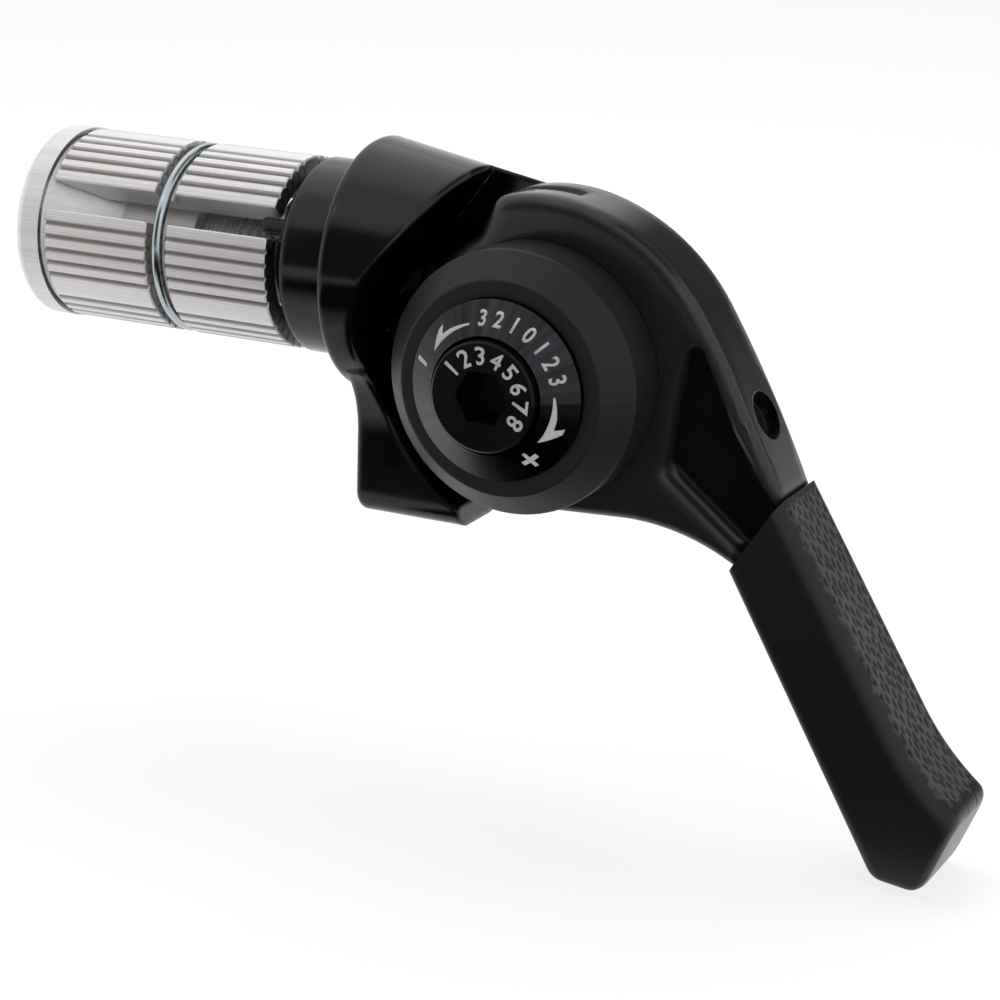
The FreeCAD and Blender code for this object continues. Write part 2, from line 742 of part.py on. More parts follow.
def make_pivot():
    stud = pivot_body("pivot_stud")
    sketch = new_sketch(stud, "XY_Plane", "stud_section")
    bore = s("screw_shank_rad") + s("run_fit")
    head = s("plate_back") + s("stud_head_thick")
    corners = (
        (0, head),
        (s("stud_head_rad"), head),
        (s("stud_head_rad"), s("plate_back")),
        (s("stud_rad"), s("plate_back")),
        (s("stud_rad"), s("stud_front")),
        (bore, s("stud_front")),
        (bore, s("stud_bore_end")),
        (0, s("stud_bore_end")),
    )
    outline(sketch, corners)
    turned(stud, "Revolution", sketch, "stud_solid", "V_Axis")

    pin = pivot_body("travel_pin")
    sketch = new_sketch(pin, "XZ_Plane", "pin_outline", (0, 0, -s("plate_back")))
    circle(sketch, pin_place[0], pin_place[1], s("pin_rad"))
    extrude(pin, "Pad", sketch, "pin_solid", s("plate_back") - s("plate_front") + s("pin_reach"))

    shaft = s("stud_rad") + s("run_fit")
    collar(pivot_body("lever_bushing"), "Y", shaft, s("bushing_rad"), bushing_front, bushing_back)
    ring = s("stud_rad") + s("free_gap")
    back = s("plate_front") - s("face_gap")
    collar(pivot_body("back_washer"), "Y", ring, s("washer_rad"), back - s("washer_thick"), back)
    front = index_back + s("face_gap")
    collar(pivot_body("front_washer"), "Y", ring, s("washer_rad"), front, front + s("washer_thick"))

    plate = pivot_body("index_plate")
    rim = s("dial_rad") - s("dial_wall") - s("plate_room")
    collar(plate, "Y", ring, rim, index_front, index_back)
    sketch = new_sketch(plate, "XZ_Plane", "detent_outline", (0, 0, -index_back))
    place = polar(detent_orbit, s("detent_angle"))
    circle(sketch, place[0], place[1], s("detent_hole_rad"))
    hole = extrude(plate, "Pocket", sketch, "detent_hole", None, True)
    span = s("detent_pitch") * (s("detent_count") - 1)
    holes = repeated(plate, hole, "detent_holes", "Y_Axis", span, s("detent_count"))
    holes.Reversed = True

    ball = DOC.addObject("Part::Sphere", "detent_ball")
    ball.Label = "detent_ball"
    ball.setExpression("Radius", s("ball_rad").text)
    ball.setExpression("Placement.Base.x", (s("pivot_x") + place[0]).text)
    ball.setExpression("Placement.Base.y", ball_mid.text)
    ball.setExpression("Placement.Base.z", (s("pivot_z") + place[1]).text)
    PARTS.append(ball)

    spring = new_body("detent_spring", (s("pivot_x") + place[0], 0, s("pivot_z") + place[1]))
    sketch = new_sketch(spring, "XY_Plane", "spring_wire")
    coil = s("ball_rad") - s("spring_wire_rad") * 2
    circle(sketch, coil, ball_mid + s("ball_rad"), s("spring_wire_rad"))
    helix = spring.newObject("PartDesign::AdditiveHelix", "spring_coil")
    helix.Profile = sketch
    helix.ReferenceAxis = (sketch, ["V_Axis"])
    helix.Mode = 0
    helix.setExpression("Pitch", s("spring_pitch").text)
    helix.setExpression("Height", s("spring_len").text)


# Lever and grip

def make_lever():
    lever = pivot_body("lever_body")
    thick = s("lever_back") - s("lever_front")
    sketch = new_sketch(lever, "XZ_Plane", "lever_outline", (0, 0, -s("lever_back")))
    head, drum = s("head_rad"), s("drum_rad")
    corners = (
        polar(drum, s("step_foot_angle")),
        (-drum, 0),
        (0, -drum),
        (s("under_x"), s("under_z")),
        (s("seam_low_x"), s("seam_low_z")),
        (s("seam_top_x"), s("seam_top_z")),
        (s("shoulder_x"), s("shoulder_z")),
        polar(head, s("head_end_angle")),
        polar(head, s("step_angle")),
    )
    bends = {
        0: (drum, -1),
        1: (drum, -1),
        3: (s("under_bend"), 1),
        5: (s("outer_bend"), -1),
        6: (s("shoulder_bend"), -1),
        7: (head, -1),
    }
    outline(sketch, corners, bends)
    pad = extrude(lever, "Pad", sketch, "lever_slab", thick)
    ends = (s("lever_front").number, s("lever_back").number)
    steps = (polar(drum, s("step_foot_angle")), polar(head, s("step_angle")))
    pad = rounded(lever, pad, "lever_step", s("step_round"), upright_at(steps))
    rounded(lever, pad, "lever_rim", s("lever_round"), rim_test(ends, seam_middle()))

    # pocket in the front of the arm, open at the seam
    sketch = new_sketch(lever, "XZ_Plane", "pocket_outline", (0, 0, -s("lever_front")))
    mouth = s("pocket_deep")
    corners = (
        by_seam("top", -s("pocket_wall"), mouth),
        (s("pocket_right_x"), s("pocket_right_z")),
        (s("pocket_top_x"), s("pocket_top_z")),
        (s("pocket_left_x"), s("pocket_left_z")),
        (s("pocket_foot_x"), s("pocket_foot_z")),
        by_seam("low", s("pocket_low_wall"), mouth),
    )
    outline(sketch, corners)
    pocket = extrude(lever, "Pocket", sketch, "arm_pocket", s("pocket_deep"))
    pocket = rounded(lever, pocket, "pocket_corners", s("lever_round"), upright_at(corners[1:-1]))
    rounded(lever, pocket, "pocket_rim", s("pocket_rim"), on_lines(corners, s("lever_front")))

    # tang under the grip
    sketch = new_sketch(lever, "XZ_Plane", "tang_outline", (0, 0, -(groove_mid + s("tang_thick") / 2)))
    outline(sketch, tang_corners(s("tang_width"), s("tang_reach")))
    extrude(lever, "Pad", sketch, "tang", s("tang_thick"))

    # cable groove round the drum
    sketch = new_sketch(lever, "XY_Plane", "groove_section", None, (TURN_Y, s("groove_start")))
    half = s("groove_width") / 2
    box(sketch, s("groove_rad"), head + drum, groove_mid - half, groove_mid + half)
    turned(lever, "Groove", sketch, "cable_groove", "V_Axis", s("groove_sweep"))

    # hole for the cable head and the cable
    lift = s("anchor_rad")
    out_x = s("anchor_x") + lift * sin_of(s("anchor_angle"))
    out_z = s("anchor_z") + lift * cos_of(s("anchor_angle"))
    place = (out_x, groove_mid, out_z)
    sketch = new_sketch(lever, "XY_Plane", "anchor_outline", place, (TURN_Y, s("anchor_angle")))
    circle(sketch, 0, 0, s("anchor_rad"))
    extrude(lever, "Pocket", sketch, "anchor_hole", s("anchor_deep") + lift)
    sketch = new_sketch(lever, "XY_Plane", "lead_outline", place, (TURN_Y, s("anchor_angle")))
    circle(sketch, 0, 0, s("cable_hole_rad"))
    extrude(lever, "Pocket", sketch, "lead_hole", s("anchor_x"))

    # bores for the bushing, the washers and the detent
    sketch = new_sketch(lever, "XZ_Plane", "bushing_outline", (0, 0, -s("lever_back")))
    circle(sketch, 0, 0, s("bushing_rad"))
    extrude(lever, "Pocket", sketch, "bushing_bore", None, True)
    seat = s("washer_rad") + s("free_gap")
    sketch = new_sketch(lever, "XZ_Plane", "front_seat_outline", (0, 0, -bushing_front))
    circle(sketch, 0, 0, seat)
    extrude(lever, "Pocket", sketch, "front_seat", None, True)
    sketch = new_sketch(lever, "XZ_Plane", "back_seat_outline", (0, 0, -bushing_back))
    circle(sketch, 0, 0, seat)
    extrude(lever, "Pocket", sketch, "back_seat", None)
    place = polar(detent_orbit, s("detent_angle"))
    sketch = new_sketch(lever, "XZ_Plane", "ball_bore_outline", (0, 0, -ball_bore_end))
    circle(sketch, place[0], place[1], ball_bore_rad)
    extrude(lever, "Pocket", sketch, "ball_bore", None, True)

    # arc that the travel pin runs in
    margin = s("stop_margin")
    start = -(s("pin_angle") + margin)
    sketch = new_sketch(lever, "XY_Plane", "stop_section", None, (TURN_Y, start))
    reach = s("pin_rad") + s("free_gap")
    floor = s("plate_front") - s("pin_reach") - s("free_gap")
    box(sketch, s("pin_orbit") - reach, s("pin_orbit") + reach, floor, s("lever_back") + reach)
    turned(lever, "Groove", sketch, "stop_arc", "V_Axis", s("lever_travel") + margin * 2)


def seam_middle():
    """Middle of the seam between the arm and the grip."""
    x = (s("seam_low_x") + s("seam_top_x")) / 2
    z = (s("seam_low_z") + s("seam_top_z")) / 2
    return Vector(x.number, 0, z.number)


def by_seam(end, along, across):
    """Point off one end of the seam, along it towards the top and across it into the grip."""
    run_x = s("seam_top_x") - s("seam_low_x")
    run_z = s("seam_top_z") - s("seam_low_z")
    length = root_of(run_x * run_x + run_z * run_z)
    x = s("seam_%s_x" % end) + (run_x * along + run_z * across) / length
    z = s("seam_%s_z" % end) + (run_z * along - run_x * across) / length
    return (x, z)


def tang_corners(width, reach):
    """Four corners of the bar that runs from the arm into the grip."""
    along = s("tang_angle")
    side_x, side_z = polar(width / 2, along + 90)
    far_x, far_z = polar(reach, along, s("tang_root_x"), s("tang_root_z"))
    near_x, near_z = polar(-width, along, s("tang_root_x"), s("tang_root_z"))
    return (
        (near_x + side_x, near_z + side_z),
        (near_x - side_x, near_z - side_z),
        (far_x - side_x, far_z - side_z),
        (far_x + side_x, far_z + side_z),
    )


def make_grip():
    grip = pivot_body("lever_grip")
    sketch = new_sketch(grip, "XZ_Plane", "grip_outline", (0, 0, -s("grip_back")))
    gap, proud = s("grip_gap"), s("grip_proud")
    toe = (s("grip_toe_x"), s("grip_toe_z"))
    heel = (s("grip_heel_x"), s("grip_heel_z"))
    lip = (s("grip_lip_x"), s("grip_lip_z"))
    corners = (
        by_seam("low", -proud, gap),
        toe,
        heel,
        lip,
        (s("grip_waist_x"), s("grip_waist_z")),
        by_seam("top", proud, gap),
    )
    outline(sketch, corners, {3: (s("grip_flare_bend"), 1)})
    pad = extrude(grip, "Pad", sketch, "grip_block", s("grip_back") - s("grip_front"))
    ends = (s("grip_front").number, s("grip_back").number)
    pad = rounded(grip, pad, "grip_toe", s("grip_toe_round"), upright_at([toe, heel]))
    pad = rounded(grip, pad, "grip_lip", s("grip_lip_round"), upright_at([lip]))
    rounded(grip, pad, "grip_rim", s("grip_round"), rim_test(ends, seam_middle()))
    high = groove_mid + (s("tang_thick") + s("run_fit")) / 2
    sketch = new_sketch(grip, "XZ_Plane", "socket_outline", (0, 0, -high))
    outline(sketch, tang_corners(s("tang_width") + s("run_fit"), s("tang_reach") + s("run_fit")))
    extrude(grip, "Pocket", sketch, "tang_socket", s("tang_thick") + s("run_fit"), True)


# Dial and its screw

def make_dial():
    dial = pivot_body("adjuster_dial")
    sketch = new_sketch(dial, "XY_Plane", "dial_section")
    inner = s("dial_rad") - s("dial_wall")
    roof = s("dial_side_end") + s("dial_roof") / 2
    bore = s("stud_rad") + s("run_fit")
    ring_seat = s("ring_cone_rad") + s("run_fit")
    corners = (
        (s("dial_rad"), dial_back),
        (inner, dial_back),
        (inner, roof),
        (s("dial_hub_rad"), roof),
        (s("dial_hub_rad"), index_front),
        (bore, index_front),
        (bore, s("dial_seat")),
        (ring_seat, s("dial_seat")),
        (ring_seat, s("band_front")),
        (s("band_rad"), s("band_front")),
        (s("dial_rad"), s("dial_side_end")),
    )
    outline(sketch, corners)
    solid = turned(dial, "Revolution", sketch, "dial_solid", "V_Axis")
    edges = (
        (s("dial_rad").number, s("dial_side_end").number),
        (s("band_rad").number, s("band_front").number),
    )

    def outer_edge(edge):
        if not hasattr(edge.Curve, "Radius"):
            return False
        here = (edge.Curve.Radius, edge.Curve.Center.y)
        return any(abs(here[0] - r) < NEAR and abs(here[1] - y) < NEAR for r, y in edges)

    rounded(dial, solid, "dial_edges", s("dial_edge"), outer_edge)

    ring = pivot_body("dial_ring")
    sketch = new_sketch(ring, "XY_Plane", "ring_section")
    inner = s("screw_rad") + s("free_gap")
    corners = (
        (inner, s("dial_seat")),
        (s("ring_cone_rad"), s("dial_seat")),
        (s("ring_cone_rad"), s("ring_edge_front")),
        (inner, s("ring_inner_front")),
    )
    outline(sketch, corners)
    turned(ring, "Revolution", sketch, "ring_solid", "V_Axis")

    high = s("dial_seat") - s("face_gap")
    low = high - s("spring_washer_thick")
    hole = s("screw_shank_rad") + s("free_gap")
    collar(pivot_body("spring_washer"), "Y", hole, s("screw_rad") - s("face_gap"), low, high)

    screw = pivot_body("centre_screw")
    sketch = new_sketch(screw, "XY_Plane", "screw_section")
    edge = s("screw_edge")
    under = low - s("face_gap") / 3
    corners = (
        (0, s("screw_end")),
        (s("screw_shank_rad"), s("screw_end")),
        (s("screw_shank_rad"), under),
        (s("screw_rad"), under),
        (s("screw_rad"), s("screw_front") + edge),
        (s("screw_rad") - edge, s("screw_front")),
        (0, s("screw_front")),
    )
    outline(sketch, corners)
    turned(screw, "Revolution", sketch, "screw_solid", "V_Axis")
    sketch = new_sketch(screw, "XZ_Plane", "screw_hex_outline", (0, 0, -s("screw_front")))
    hexagon(sketch, s("screw_hex"))
    extrude(screw, "Pocket", sketch, "screw_socket", s("screw_hex_deep"))


make_pod()
make_plug()
make_pivot()
make_lever()
make_grip()
make_dial()
DOC.recompute()

for item in DOC.Objects:
    if "Invalid" in item.State or "Error" in item.State:
        raise RuntimeError("%s is %s" % (item.Name, item.State))

os.makedirs("parts", exist_ok=True)
for part in PARTS:
    if part.Shape.isNull() or not part.Shape.isValid():
        raise RuntimeError("%s has no valid shape" % part.Label)
    part.Shape.exportStep("parts/%s.step" % part.Label)
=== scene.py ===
"""Bar-end lever shifter: surfaces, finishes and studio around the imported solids."""
import json
import math

import bpy
import numpy as np
from bpy.props import FloatProperty, FloatVectorProperty, IntProperty, PointerProperty
from mathutils import Euler, Matrix, Vector

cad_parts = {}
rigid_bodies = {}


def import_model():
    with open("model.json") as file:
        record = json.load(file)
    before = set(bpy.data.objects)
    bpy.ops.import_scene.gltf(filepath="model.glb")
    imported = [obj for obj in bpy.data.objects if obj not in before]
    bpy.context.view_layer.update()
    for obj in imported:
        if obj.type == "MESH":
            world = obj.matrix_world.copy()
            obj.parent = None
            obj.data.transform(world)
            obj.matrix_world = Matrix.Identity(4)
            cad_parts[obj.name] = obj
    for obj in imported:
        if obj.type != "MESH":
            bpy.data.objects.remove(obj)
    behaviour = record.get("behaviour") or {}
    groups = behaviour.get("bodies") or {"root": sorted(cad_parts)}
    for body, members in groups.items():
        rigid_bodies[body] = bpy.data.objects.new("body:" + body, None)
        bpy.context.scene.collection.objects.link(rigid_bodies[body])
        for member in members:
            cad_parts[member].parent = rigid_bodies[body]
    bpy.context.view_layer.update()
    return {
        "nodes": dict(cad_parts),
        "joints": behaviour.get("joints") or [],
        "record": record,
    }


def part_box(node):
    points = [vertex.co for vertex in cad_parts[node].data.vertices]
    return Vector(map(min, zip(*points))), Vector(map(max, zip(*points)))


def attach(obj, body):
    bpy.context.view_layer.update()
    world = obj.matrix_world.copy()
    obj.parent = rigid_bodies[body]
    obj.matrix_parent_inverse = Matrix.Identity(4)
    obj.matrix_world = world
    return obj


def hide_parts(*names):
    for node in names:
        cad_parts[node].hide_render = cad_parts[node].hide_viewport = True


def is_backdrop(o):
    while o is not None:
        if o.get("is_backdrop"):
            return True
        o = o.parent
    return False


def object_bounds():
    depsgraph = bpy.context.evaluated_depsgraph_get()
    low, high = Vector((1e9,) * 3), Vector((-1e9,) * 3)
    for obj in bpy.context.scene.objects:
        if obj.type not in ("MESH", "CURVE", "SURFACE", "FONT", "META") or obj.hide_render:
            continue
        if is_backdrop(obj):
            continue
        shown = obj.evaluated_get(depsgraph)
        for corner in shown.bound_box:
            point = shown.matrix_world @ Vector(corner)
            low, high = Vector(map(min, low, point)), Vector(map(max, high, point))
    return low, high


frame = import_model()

bl_info = {
    "name": "Bar-end lever shifter",
    "version": (1, 0, 0),
    "blender": (4, 5, 0),
    "location": "3D View > Sidebar > Shifter",
    "description": "Dresses the packed shifter with numpy surfaces, procedural finishes and a studio",
    "category": "Object",
}

MM = 0.001
FULL_TURN = 2 * math.pi
SHARP_ANGLE = math.radians(38)
SHELL_SHARP = math.radians(25)
POD_EDGE = 0.8 * MM
LEVER_EDGE = 2.0 * MM
HOLE_EDGE = 0.12 * MM
# Pale paint on the pod's sharp edges: partly wear, partly a painted highlight
POD_WEAR_AND_HIGHLIGHT = 0.45
WEAR_AND_HIGHLIGHT_RADIUS = 0.3 * MM
BEVEL_RAYS = 8
SENSOR_WIDTH = 36

# Ranges in millimetres over which the lever's finish changes; in the pocket this change is partly painted
# shade
HOLE_REACH = (3.2, 5.5)
POCKET_DEPTH = (-6.05, -5.7)


# Sizes and colours that a user would change

def amount(name, description, default, **more):
    return FloatProperty(name=name, description=description, default=default, **more)


def length(name, description, default):
    return amount(name, description, default, unit="LENGTH", precision=5)


def angle(name, description, degrees):
    return amount(name, description, math.radians(degrees), subtype="ANGLE")


def colour(name, description, default):
    return FloatVectorProperty(
        name=name, description=description, default=default, size=3, min=0, max=1, subtype="COLOR"
    )


def place(name, description, default):
    return FloatVectorProperty(
        name=name, description=description, default=default, size=3, subtype="TRANSLATION", precision=5
    )


def share(name, description, default):
    return amount(name, description, default, min=0, max=1, subtype="FACTOR")


class PlugSizes(bpy.types.PropertyGroup):
    """Sizes of the expanding plug's shells and bolt."""

    outer_radius: length("Shell radius", "Outside radius of the serrated shells", 0.00965)
    inner_radius: length("Shell bore", "Inside radius of the shells between their cones", 0.0062)
    shell_left: length("Left end", "Distance of the shells' far end from the pod's face", 0.033)
    shell_right: length("Right end", "Distance of the shells' near end from the pod's face", 0.0073)
    left_bore: length("Left bore", "Radius of the shells' bore at the far end", 0.00919)
    left_cone: angle("Left cone", "Half angle of the cone at the far end", 33.5)
    right_bore: length("Right bore", "Radius of the shells' bore at the near end", 0.007625)
    right_cone: angle("Right cone", "Half angle of the cone at the near end", 45)
    slot_middle: angle("Slot", "Turn of the slot that faces the viewer", 152.1)
    slot_width: angle("Slot width", "Angle between two shells", 19)
    groove_pitch: angle("Groove pitch", "Angle from one groove to the next", 8.2)
    groove_count: IntProperty(name="Grooves", description="Grooves beside each edge", default=5, min=1, max=6)
    groove_depth: length("Groove depth", "Depth of the long grooves", 0.00038)
    groove_width: length("Groove width", "Width of the long grooves at the surface", 0.00066)
    band_place: length("Ring place", "Distance of the wire ring from the pod's face", 0.0199)
    band_width: length("Ring groove width", "Width of the groove that holds the ring", 0.0023)
    band_radius: length("Ring groove radius", "Radius at the bottom of the ring's groove", 0.00792)
    edge: length("Edge", "Chamfer on the shells' edges", 0.00014)
    bolt_radius: length("Bolt radius", "Outside radius of the bolt's thread", 0.00295)
    thread_pitch: length("Thread pitch", "Distance from one thread to the next", 0.00105)
    thread_depth: length("Thread depth", "Depth of the thread", 0.0005)
    head_radius: length("Head radius", "Radius of the bolt's head", 0.005)
    head_length: length("Head length", "Length of the bolt's head", 0.0046)
    socket: length("Socket", "Width across the flats of the bolt's socket", 0.005)
    socket_depth: length("Socket depth", "Depth of the bolt's socket", 0.003)


class GripSizes(bpy.types.PropertyGroup):
    """Sizes of the rubber grip on the lever."""

    front: length("Front face", "Place of the grip's front face", -0.0074)
    back: length("Back face", "Place of the grip's back face", 0.0032)
    front_round: length("Front rounding", "Rounding between the front and the thumb face", 0.002)
    back_round: length("Back rounding", "Rounding between the back and the thumb face", 0.0017)
    low_round: length("Lower rounding", "Rounding along the lower edge", 0.0013)
    end_round: length("End rounding", "Rounding round the end face", 0.0009)
    dimple_length: length("Dimple length", "Spacing of the dimples along the lever", 0.00145)
    dimple_width: length("Dimple width", "Spacing of the dimples across the lever", 0.00086)
    dimple_depth: length("Dimple depth", "Depth of the dimples on the thumb face", 0.0002)


class DialSizes(bpy.types.PropertyGroup):
    """Sizes of the marks printed on the dial."""

    rise: length("Rise", "Height of the print above the surface", 0.00002)
    film: length("Film", "Thickness of the print", 0.00004)
    ring_outer: length("Ring outer", "Radius of the ring's outer edge", 0.00869)
    ring_inner: length("Ring inner", "Radius of the ring's inner edge", 0.00565)
    ring_low: length("Ring low", "Place of the ring's outer edge", -0.0148)
    ring_high: length("Ring high", "Place of the ring's inner edge", -0.017)
    cap: length("Cap", "Place of the cap's face", -0.01775)


class Finishes(bpy.types.PropertyGroup):
    """Colours of the finishes."""

    pod: colour("Pod", "Gloss black coat of the pod", (0.0027, 0.0021, 0.0024))
    lever: colour("Lever", "Satin black of the lever", (0.0125, 0.0125, 0.0132))
    # Pocket: partly the gloss coat, partly painted shade in the lever's pocket
    pocket: colour("Pocket", "Gloss black in the lever's pocket", (0.0040, 0.0036, 0.0040))
    rubber: colour("Rubber", "Smooth rubber of the grip", (0.0036, 0.0035, 0.0039))
    # Pebble: painted light on the raised network of the thumb face; the dimples keep the dark rubber as
    # painted shade
    pebble_highlight: colour("Pebble", "Raised network on the thumb face", (0.046, 0.044, 0.041))
    dial: colour("Dial", "Satin dial", (0.0125, 0.0125, 0.0135))
    ring: colour("Ring", "Polished dial ring", (0.026, 0.026, 0.028))
    # The cap's black is also painted onto the bolt's head as painted shade
    cap: colour("Cap", "Black centre screw", (0.0026, 0.0025, 0.0028))
    print: colour("Print", "Pale marks on the dial", (0.46, 0.46, 0.44))
    alloy: colour("Alloy", "Bright alloy of the plug", (0.90, 0.89, 0.88))
    # Groove: painted shade, a darker pinkish grey painted into the plug's grooves
    groove: colour("Groove", "Dull grey in the plug's grooves", (0.42, 0.375, 0.37))
    zinc: colour("Zinc", "Bluish plate of the wire ring", (0.47, 0.52, 0.545))
    steel: colour("Steel", "Plain steel", (0.58, 0.57, 0.56))
    bolt: colour("Bolt", "Bright steel of the plug's thread", (0.80, 0.79, 0.78))
    bronze: colour("Bronze", "Sintered bronze", (0.62, 0.46, 0.26))
    nylon: colour("Nylon", "Pale nylon", (0.80, 0.79, 0.74))


class StageSizes(bpy.types.PropertyGroup):
    """Camera and lights."""

    eye: place("Camera", "Place of the camera", (0.137899, -0.256525, 0.065171))
    azimuth: angle("Azimuth", "Turn of the camera about the upright axis", 25.7138)
    elevation: angle("Elevation", "Height angle of the camera", 17.1058)
    roll: angle("Roll", "Lean of the camera", 1.7584)
    lens: amount("Lens", "Focal length in millimetres", 108)
    floor_drop: length("Floor drop", "Gap between the part and the floor", 0.0004)
    key_power: amount("Key", "Power of the overhead panel", 3.2, unit="POWER")
    fill_power: amount("Fill", "Power of the front panel", 0.9, unit="POWER")
    sky: amount("Sky", "Strength of the soft light from all round", 0.45)
    floor_glow: share("Floor glow", "Share of the floor's white that shadows leave alone", 0.82)


# Meshes from numpy arrays

def grid_faces(rows, columns, wrap_columns=True):
    """Quads between neighbouring samples of a rows by columns grid, the last column joined to the first."""
    steps = columns if wrap_columns else columns - 1
    i, j = np.meshgrid(np.arange(rows - 1), np.arange(steps), indexing="ij")
    after = (j + 1) % columns
    corners = (i * columns + j, i * columns + after, (i + 1) * columns + after, (i + 1) * columns + j)
    return np.stack(corners, -1).reshape(-1, 4)


def enclosed_volume(points, quads):
    """Sum of the signed tetrahedra from the mean point to each half of each quad."""
    centred = points - points.mean(0)
    a, b, c, d = (centred[quads[:, k]] for k in range(4))
    return (np.cross(a, b) * c).sum() + (np.cross(a, c) * d).sum()


def closed_tube(rings):
    """A tube through rings of points, rows by columns by 3, with a flat polygon on each end ring.
    The faces are turned so that the enclosed volume is positive: they point outwards."""
    rows, columns = rings.shape[:2]
    points = rings.reshape(-1, 3)
    quads = grid_faces(rows, columns)
    first = list(range(columns))[::-1]
    last = list(range((rows - 1) * columns, rows * columns))
    if enclosed_volume(points, quads) < 0:
        quads = quads[:, ::-1]
        first = first[::-1]
        last = last[::-1]
    return points, quads.tolist() + [first, last]


def linked(name, data):
    """A new object in the scene."""
    made = bpy.data.objects.new(name, data)
    bpy.context.scene.collection.objects.link(made)
    return made


def new_piece(name, points, faces, body, slot, stands_for=(), finish=None, sharp=SHARP_ANGLE):
    """An object at the origin from points in millimetres, riding on a body, in a finish."""
    mesh = bpy.data.meshes.new(name)
    mesh.from_pydata((np.asarray(points) * MM).tolist(), [], faces)
    mesh.validate()
    mesh.polygons.foreach_set("use_smooth", np.ones(len(mesh.polygons), bool))
    if sharp is not None:
        mesh.set_sharp_from_angle(angle=sharp)
    mesh.update()
    mesh.materials.append(MATERIALS[finish or slot])
    piece = linked(name, mesh)
    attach(piece, body)
    if stands_for:
        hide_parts(*stands_for)
    return piece


def add_values(piece, name, values):
    """One number for each point, for the piece's material to read."""
    layer = piece.data.attributes.new(name, "FLOAT", "POINT")
    layer.data.foreach_set("value", np.asarray(values, np.float32).ravel())


def about_plug(x, radius, turn):
    """Points at a distance x along the plug and a radius at a turn from +Y towards +Z."""
    x, radius, turn = np.broadcast_arrays(x, radius, turn)
    return np.stack([x, radius * np.cos(turn), radius * np.sin(turn)], -1)


def smooth_step(low, high, value):
    """0 below low, 1 above high, and 3t^2 - 2t^3 between."""
    t = np.clip((value - low) / (high - low), 0, 1)
    return t * t * (3 - 2 * t)


# Shader nodes

def node(tree, kind, inputs=(), **settings):
    """A shader node with its settings; each input is a value or a socket to join."""
    made = tree.nodes.new("ShaderNode" + kind)
    for name, value in settings.items():
        setattr(made, name, value)
    return filled(tree, made, dict(inputs))


def filled(tree, made, inputs):
    """The node with each input set to its value or joined to its socket."""
    for name, value in inputs.items():
        socket = made.inputs[name]
        if isinstance(value, bpy.types.NodeSocket):
            tree.links.new(value, socket)
        else:
            socket.default_value = value
    return made


def sums(tree, operation, *values):
    return node(tree, "Math", enumerate(values), operation=operation).outputs[0]


def times(tree, first, second):
    return sums(tree, "MULTIPLY", first, second)


def plus(tree, first, second):
    return sums(tree, "ADD", first, second)


def ramp(tree, value, low, high, to_low=0.0, to_high=1.0):
    """A value carried from one range to another and held at its ends."""
    inputs = {"Value": value, "From Min": low, "From Max": high, "To Min": to_low, "To Max": to_high}
    return node(tree, "MapRange", inputs).outputs[0]


def blended(tree, factor, first, second):
    """A colour between two colours."""
    made = node(tree, "Mix", {0: factor, 6: first, 7: second}, data_type="RGBA")
    return made.outputs[2]


def millimetres(tree):
    """Object coordinates in millimetres."""
    coordinates = node(tree, "TexCoord").outputs["Object"]
    return node(tree, "VectorMath", {0: coordinates, "Scale": 1 / MM}, operation="SCALE").outputs[0]


def rgba(values, gain=1.0):
    return (*(min(1.0, v * gain) for v in values), 1.0)


def mottled(tree, pattern, base, dark, light):
    """A colour that a pattern moves between a darker and a lighter share of itself."""
    return blended(tree, ramp(tree, pattern, 0.3, 0.7), rgba(base, dark), rgba(base, light))


def attribute(tree, name):
    return node(tree, "Attribute", attribute_name=name).outputs["Fac"]


def parts(tree, vector):
    return node(tree, "SeparateXYZ", {0: vector}).outputs


def effect_group(name, build, output, **inputs):
    """A node group with number inputs and one output, whose value build(tree, inputs) returns."""
    tree = bpy.data.node_groups.new(name, "ShaderNodeTree")
    for label, default in inputs.items():
        socket = tree.interface.new_socket(label, in_out="INPUT", socket_type="NodeSocketFloat")
        socket.default_value = default
    tree.interface.new_socket(output, in_out="OUTPUT", socket_type="NodeSocketFloat")
    enter = tree.nodes.new("NodeGroupInput")
    leave = tree.nodes.new("NodeGroupOutput")
    tree.links.new(build(tree, enter.outputs), leave.inputs[0])
    return tree


def build_grain(tree, inputs):
    """Fractal noise whose coarsest cell has the given size."""
    scale = sums(tree, "DIVIDE", 1.0, inputs["Size"])
    noise = node(tree, "TexNoise", {"Vector": millimetres(tree), "Scale": scale, "Detail": inputs["Detail"]})
    return noise.outputs[0]


def build_specks(tree, inputs):
    """Small round specks in a share of the cells of a Voronoi pattern."""
    scale = sums(tree, "DIVIDE", 1.0, inputs["Spacing"])
    cells = node(tree, "TexVoronoi", {"Vector": millimetres(tree), "Scale": scale})
    apart = times(tree, cells.outputs["Distance"], inputs["Spacing"])
    near = sums(tree, "LESS_THAN", apart, inputs["Size"])
    pick = node(tree, "SeparateColor", {0: cells.outputs["Color"]}).outputs[0]
    chosen = sums(tree, "LESS_THAN", pick, inputs["Share"])
    return times(tree, near, chosen)


def build_smudges(tree, inputs):
    """Broad soft patches, as left by handling."""
    scale = sums(tree, "DIVIDE", 1.0, inputs["Size"])
    settings = {"Vector": millimetres(tree), "Scale": scale, "Detail": 3.0, "Distortion": 0.6}
    noise = node(tree, "TexNoise", settings)
    return ramp(tree, noise.outputs[0], 0.35, 0.68)


def build_lines(tree, inputs):
    """Fine lines: noise that changes only with the distance given."""
    along = sums(tree, "DIVIDE", inputs["Distance"], inputs["Pitch"])
    noise = node(tree, "TexNoise", {"W": along, "Scale": 1.0, "Detail": 4.0}, noise_dimensions="1D")
    return noise.outputs[0]


